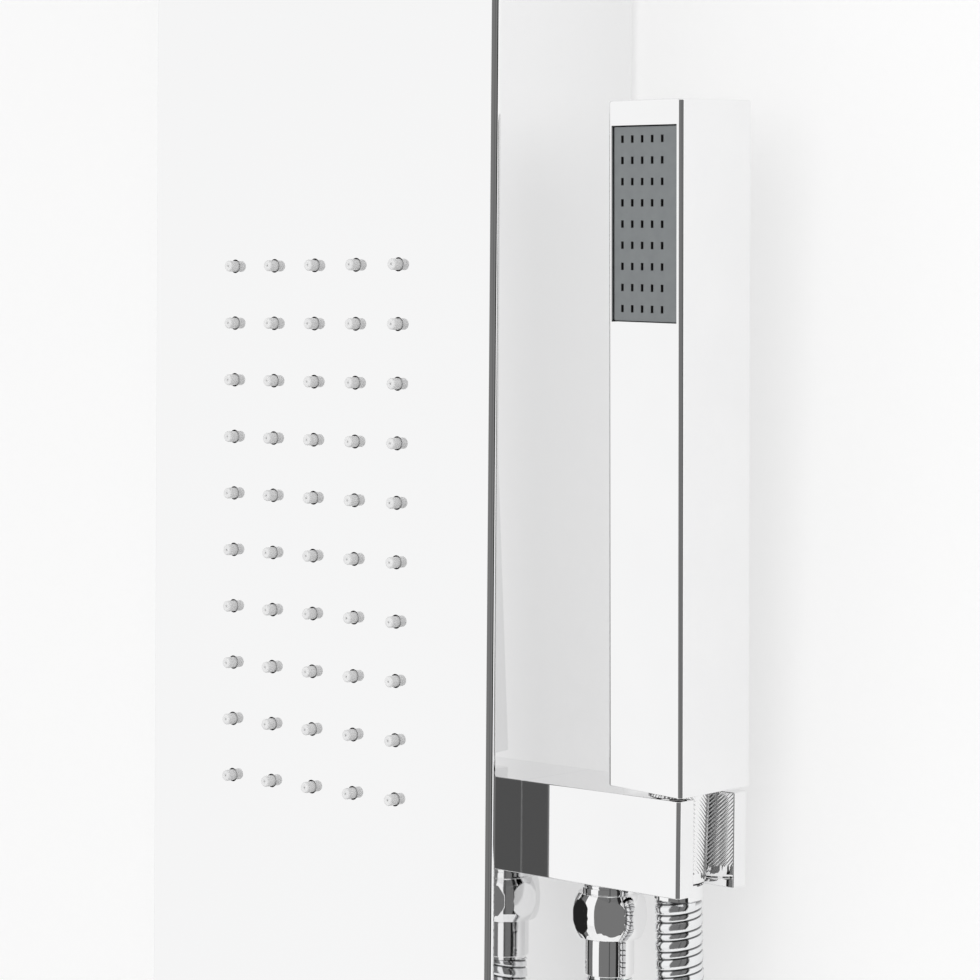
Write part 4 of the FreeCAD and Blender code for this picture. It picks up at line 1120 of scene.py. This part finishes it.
makeHandBody(handSetup)
makeSprayPlate(plateSetup, handSetup["windowMiddle"])
print("hand shower made")

# overhead head: its rows of soft nozzles, and clean skins on its shell and on the knobs

rainSetup = {
    "columns": 6, "rows": 10, "pitch": 22.0, "firstRow": -210.0, "faceInset": 3.3, "sunk": 1.5,
    "reach": 4.0, "tip": 1.6, "root": 2.2, "sides": 18, "orifice": 0.5,
}


def makeRainNozzles(setup):
    low, high = boxOf("rain_nozzle_mat")
    faceFoot, flangeFoot = [corner[2] for corner in boxOf("rain_face_plate")]
    inset = setup["faceInset"]
    flange = block("flange", (low[0], low[1], flangeFoot), high, 0.4, 2)
    faceTop = (high[0] - inset, high[1] - inset, flangeFoot + 0.5)
    face = block("face", (low[0] + inset, low[1] + inset, faceFoot), faceTop, 0.3, 2)
    places = [
        standingAt(x, setup["firstRow"] - row * setup["pitch"], faceFoot + setup["sunk"]) @ downwards
        for row in range(setup["rows"])
        for x in centred(setup["columns"], setup["pitch"])
    ]
    makeNozzles("rain_nozzles", "rain_nozzle_mat", setup, [flange, face], places)


makeRainNozzles(rainSetup)
skins = {
    "head_shell": ("rain_head_shell", "mirror", "polished_steel"),
    "head_face": ("rain_face_plate", "mirror", "polished_steel"),
    "diverter_grip": ("diverter_knob", "chrome", "chrome"),
    "temperature_grip": ("temperature_knob", "chrome", "chrome"),
    "diverter_collar": ("diverter_rose", "chrome", "chrome"),
    "temperature_collar": ("thermostat_rose", "chrome", "chrome"),
}
for name, (node, finishName, slotName) in skins.items():
    smoothCopy(node, name, finishName)
print("head and knobs made")

# safety stop button, its edges rounded and its top grooved for the thumb

buttonSetup = {"edge": 0.6, "ribs": 4, "ribWide": 0.7, "ribDeep": 0.35}


def makeButton(setup):
    low, high = boxOf("safety_stop_button")
    piece = block("stop_button", low, high, setup["edge"], 3)
    grooves = []
    span = high[1] - low[1]
    for i in range(setup["ribs"]):
        middle = low[1] + span * (i + 1) / (setup["ribs"] + 1)
        grooves.append(
            block(
                "groove",
                (low[0] + 1, middle - setup["ribWide"] / 2, high[2] - setup["ribDeep"]),
                (high[0] - 1, middle + setup["ribWide"] / 2, high[2] + 1),
            )
        )
    booleanCut(piece, joinPieces(grooves, "grooves"))
    flatShade(piece, 40)
    finish(piece, "redPlastic")
    standFor(piece, "safety_stop_button", "safety_button")


makeButton(buttonSetup)
print("button made")

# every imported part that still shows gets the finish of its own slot

slotFinishes = {
    "polished_steel": "mirror",
    "chrome": "chrome",
    "zinc_steel": "zinc",
    "brass": "brass",
    "silicone": "silicone",
    "black_rubber": "rubber",
    "white_plastic": "whitePlastic",
    "grey_plastic": "greyPlastic",
    "button_plastic": "redPlastic",
    "braided_hose": "braid",
}
for part in frame["record"]["subparts"]:
    packed = nodes[part["node"]]
    if packed.hide_render:
        continue
    plated = part["node"] in ("hand_thread_insert", "outlet_nipple")
    for holder in packed.material_slots:
        holder.material = finishes["chrome" if plated else slotFinishes[part["material_slot"]]]
print("packed parts finished")

# studio: a white room, a wall behind the column, a pale floor, a soft lamp, dark screens round the camera

studioSetup = {
    "roomLight": 0.74,       # how strongly the white room lights matt surfaces
    "lampPower": 6.0,
    "lampPlace": (0.5, -1.2, 0.3),
    "lampAim": (0.1, -0.03, -0.29),
    "lampSize": 1.3,
    "floorHeight": -1.42,
    "floorHalf": 2.6,
    "floorGlow": 0.45,
    "floorPaint": 0.62,
    "wallHalf": 2.5,
    "wallTop": 1.6,
    "wallPlace": 0.0006,     # just behind the wall brackets
    "wallGlow": 0.54,
    "wallPaint": 0.47,
    "screenMiddle": (0.1, -0.035),
    "screenAway": 1.15,
    "screenLow": -1.4,
    "screenHigh": 1.1,
    # from and to in degrees, 0 straight in front and + to the right, then how bright
    "screens": ((-10, 37.5, 0.19), (37.5, 42.4, 0.09), (42.4, 69, 0.19), (69, 83, 0.02), (92, 107, 0.07)),
}


# A material that is one colour to the camera and in reflections, and another to matt surfaces.
def paleToTheEye(tree, output, seen, lighting):
    path = tree.nodes.new("ShaderNodeLightPath")
    total = path.outputs["Is Camera Ray"]
    for ray in ("Is Glossy Ray", "Is Transmission Ray"):
        total = mathIn(tree, "MAXIMUM", total, path.outputs[ray])
    blend = tree.nodes.new("ShaderNodeMixShader")
    tree.links.new(total, blend.inputs["Fac"])
    tree.links.new(lighting, blend.inputs[1])
    tree.links.new(seen, blend.inputs[2])
    tree.links.new(blend.outputs["Shader"], output)


def makeRoom(setup):
    world = bpy.data.worlds.new("room")
    bpy.context.scene.world = world
    world.use_nodes = True
    tree = world.node_tree
    room = tree.nodes["Background"]
    room.inputs["Color"].default_value = (1, 1, 1, 1)
    room.inputs["Strength"].default_value = setup["roomLight"]
    seen = tree.nodes.new("ShaderNodeBackground")
    seen.inputs["Color"].default_value = (1, 1, 1, 1)
    seen.inputs["Strength"].default_value = 1.0
    output = tree.nodes["World Output"].inputs["Surface"]
    paleToTheEye(tree, output, seen.outputs["Background"], room.outputs["Background"])


def makeLamp(setup):
    lamp = bpy.data.lights.new("soft_lamp", "AREA")
    lamp.energy = setup["lampPower"]
    lamp.size = setup["lampSize"]
    holder = bpy.data.objects.new("soft_lamp", lamp)
    bpy.context.scene.collection.objects.link(holder)
    place = Vector(setup["lampPlace"])
    aim = Vector(setup["lampAim"]) - place
    holder.matrix_world = Matrix.Translation(place) @ aim.to_track_quat("-Z", "Y").to_matrix().to_4x4()
    holder.visible_glossy = False


# White paint for the floor and the wall: shadows fall on it, and it can't be seen from behind.
def roomPaint(name, glowing, paint):
    material = bpy.data.materials.new(name)
    material.use_nodes = True
    tree = material.node_tree
    matt = tree.nodes["Principled BSDF"]
    matt.inputs["Base Color"].default_value = (0.88, 0.88, 0.878, 1)
    matt.inputs["Roughness"].default_value = 0.9
    shown = tree.nodes.new("ShaderNodeBsdfDiffuse")
    shown.inputs["Color"].default_value = (paint, paint, paint, 1)
    glow = tree.nodes.new("ShaderNodeEmission")
    glow.inputs["Strength"].default_value = glowing
    both = tree.nodes.new("ShaderNodeAddShader")
    tree.links.new(shown.outputs["BSDF"], both.inputs[0])
    tree.links.new(glow.outputs["Emission"], both.inputs[1])
    sides = tree.nodes.new("ShaderNodeMixShader")
    paleToTheEye(tree, sides.inputs[1], both.outputs["Shader"], matt.outputs["BSDF"])
    clear = tree.nodes.new("ShaderNodeBsdfTransparent")
    geometry = tree.nodes.new("ShaderNodeNewGeometry")
    tree.links.new(geometry.outputs["Backfacing"], sides.inputs["Fac"])
    tree.links.new(clear.outputs["BSDF"], sides.inputs[2])
    tree.links.new(sides.outputs["Shader"], tree.nodes["Material Output"].inputs["Surface"])
    return material


def makeFloor(setup):
    startFresh()
    bpy.ops.mesh.primitive_plane_add(size=2 * setup["floorHalf"], location=(0, 0, setup["floorHeight"]))
    floor = nameIt("floor")
    floor.data.materials.append(roomPaint("floorPaint", setup["floorGlow"], setup["floorPaint"]))


def makeWall(setup):
    half, top, floor = setup["wallHalf"], setup["wallTop"], setup["floorHeight"]
    startFresh()
    bpy.ops.mesh.primitive_plane_add(size=2)
    wall = nameIt("room_wall")
    place = towardsFront @ Matrix.Diagonal((half, (top - floor) / 2, 1, 1))
    place.translation = (0, setup["wallPlace"], (top + floor) / 2)
    seatPiece(wall, place)
    wall.data.materials.append(roomPaint("wallPaint", setup["wallGlow"], setup["wallPaint"]))


# Upright curved screens round the camera, seen only in reflections.
def makeScreen(setup, name, start, end, tone):
    middle, away = setup["screenMiddle"], setup["screenAway"]
    steps = max(2, round((end - start) / 4))
    mesh = bmesh.new()
    rows = []
    for i in range(steps + 1):
        turn = math.radians(start + (end - start) * i / steps)
        x, y = middle[0] + away * math.sin(turn), middle[1] - away * math.cos(turn)
        rows.append([mesh.verts.new((x, y, setup["screenLow"])), mesh.verts.new((x, y, setup["screenHigh"]))])
    for left, right in zip(rows, rows[1:]):
        mesh.faces.new((left[0], left[1], right[1], right[0]))
    screen = meshPiece(name, mesh)
    material = bpy.data.materials.new(name)
    material.use_nodes = True
    tree = material.node_tree
    glow = tree.nodes.new("ShaderNodeEmission")
    glow.inputs["Color"].default_value = (tone, tone, tone, 1)
    glow.inputs["Strength"].default_value = 1.0
    tree.links.new(glow.outputs["Emission"], tree.nodes["Material Output"].inputs["Surface"])
    screen.data.materials.append(material)
    for sight in ("visible_camera", "visible_diffuse", "visible_shadow", "visible_transmission"):
        setattr(screen, sight, False)


makeRoom(studioSetup)
makeLamp(studioSetup)
makeFloor(studioSetup)
makeWall(studioSetup)
for number, (start, end, tone) in enumerate(studioSetup["screens"]):
    makeScreen(studioSetup, f"screen_{number}", start, end, tone)
bpy.context.scene.view_settings.view_transform = "Standard"
print("studio made")
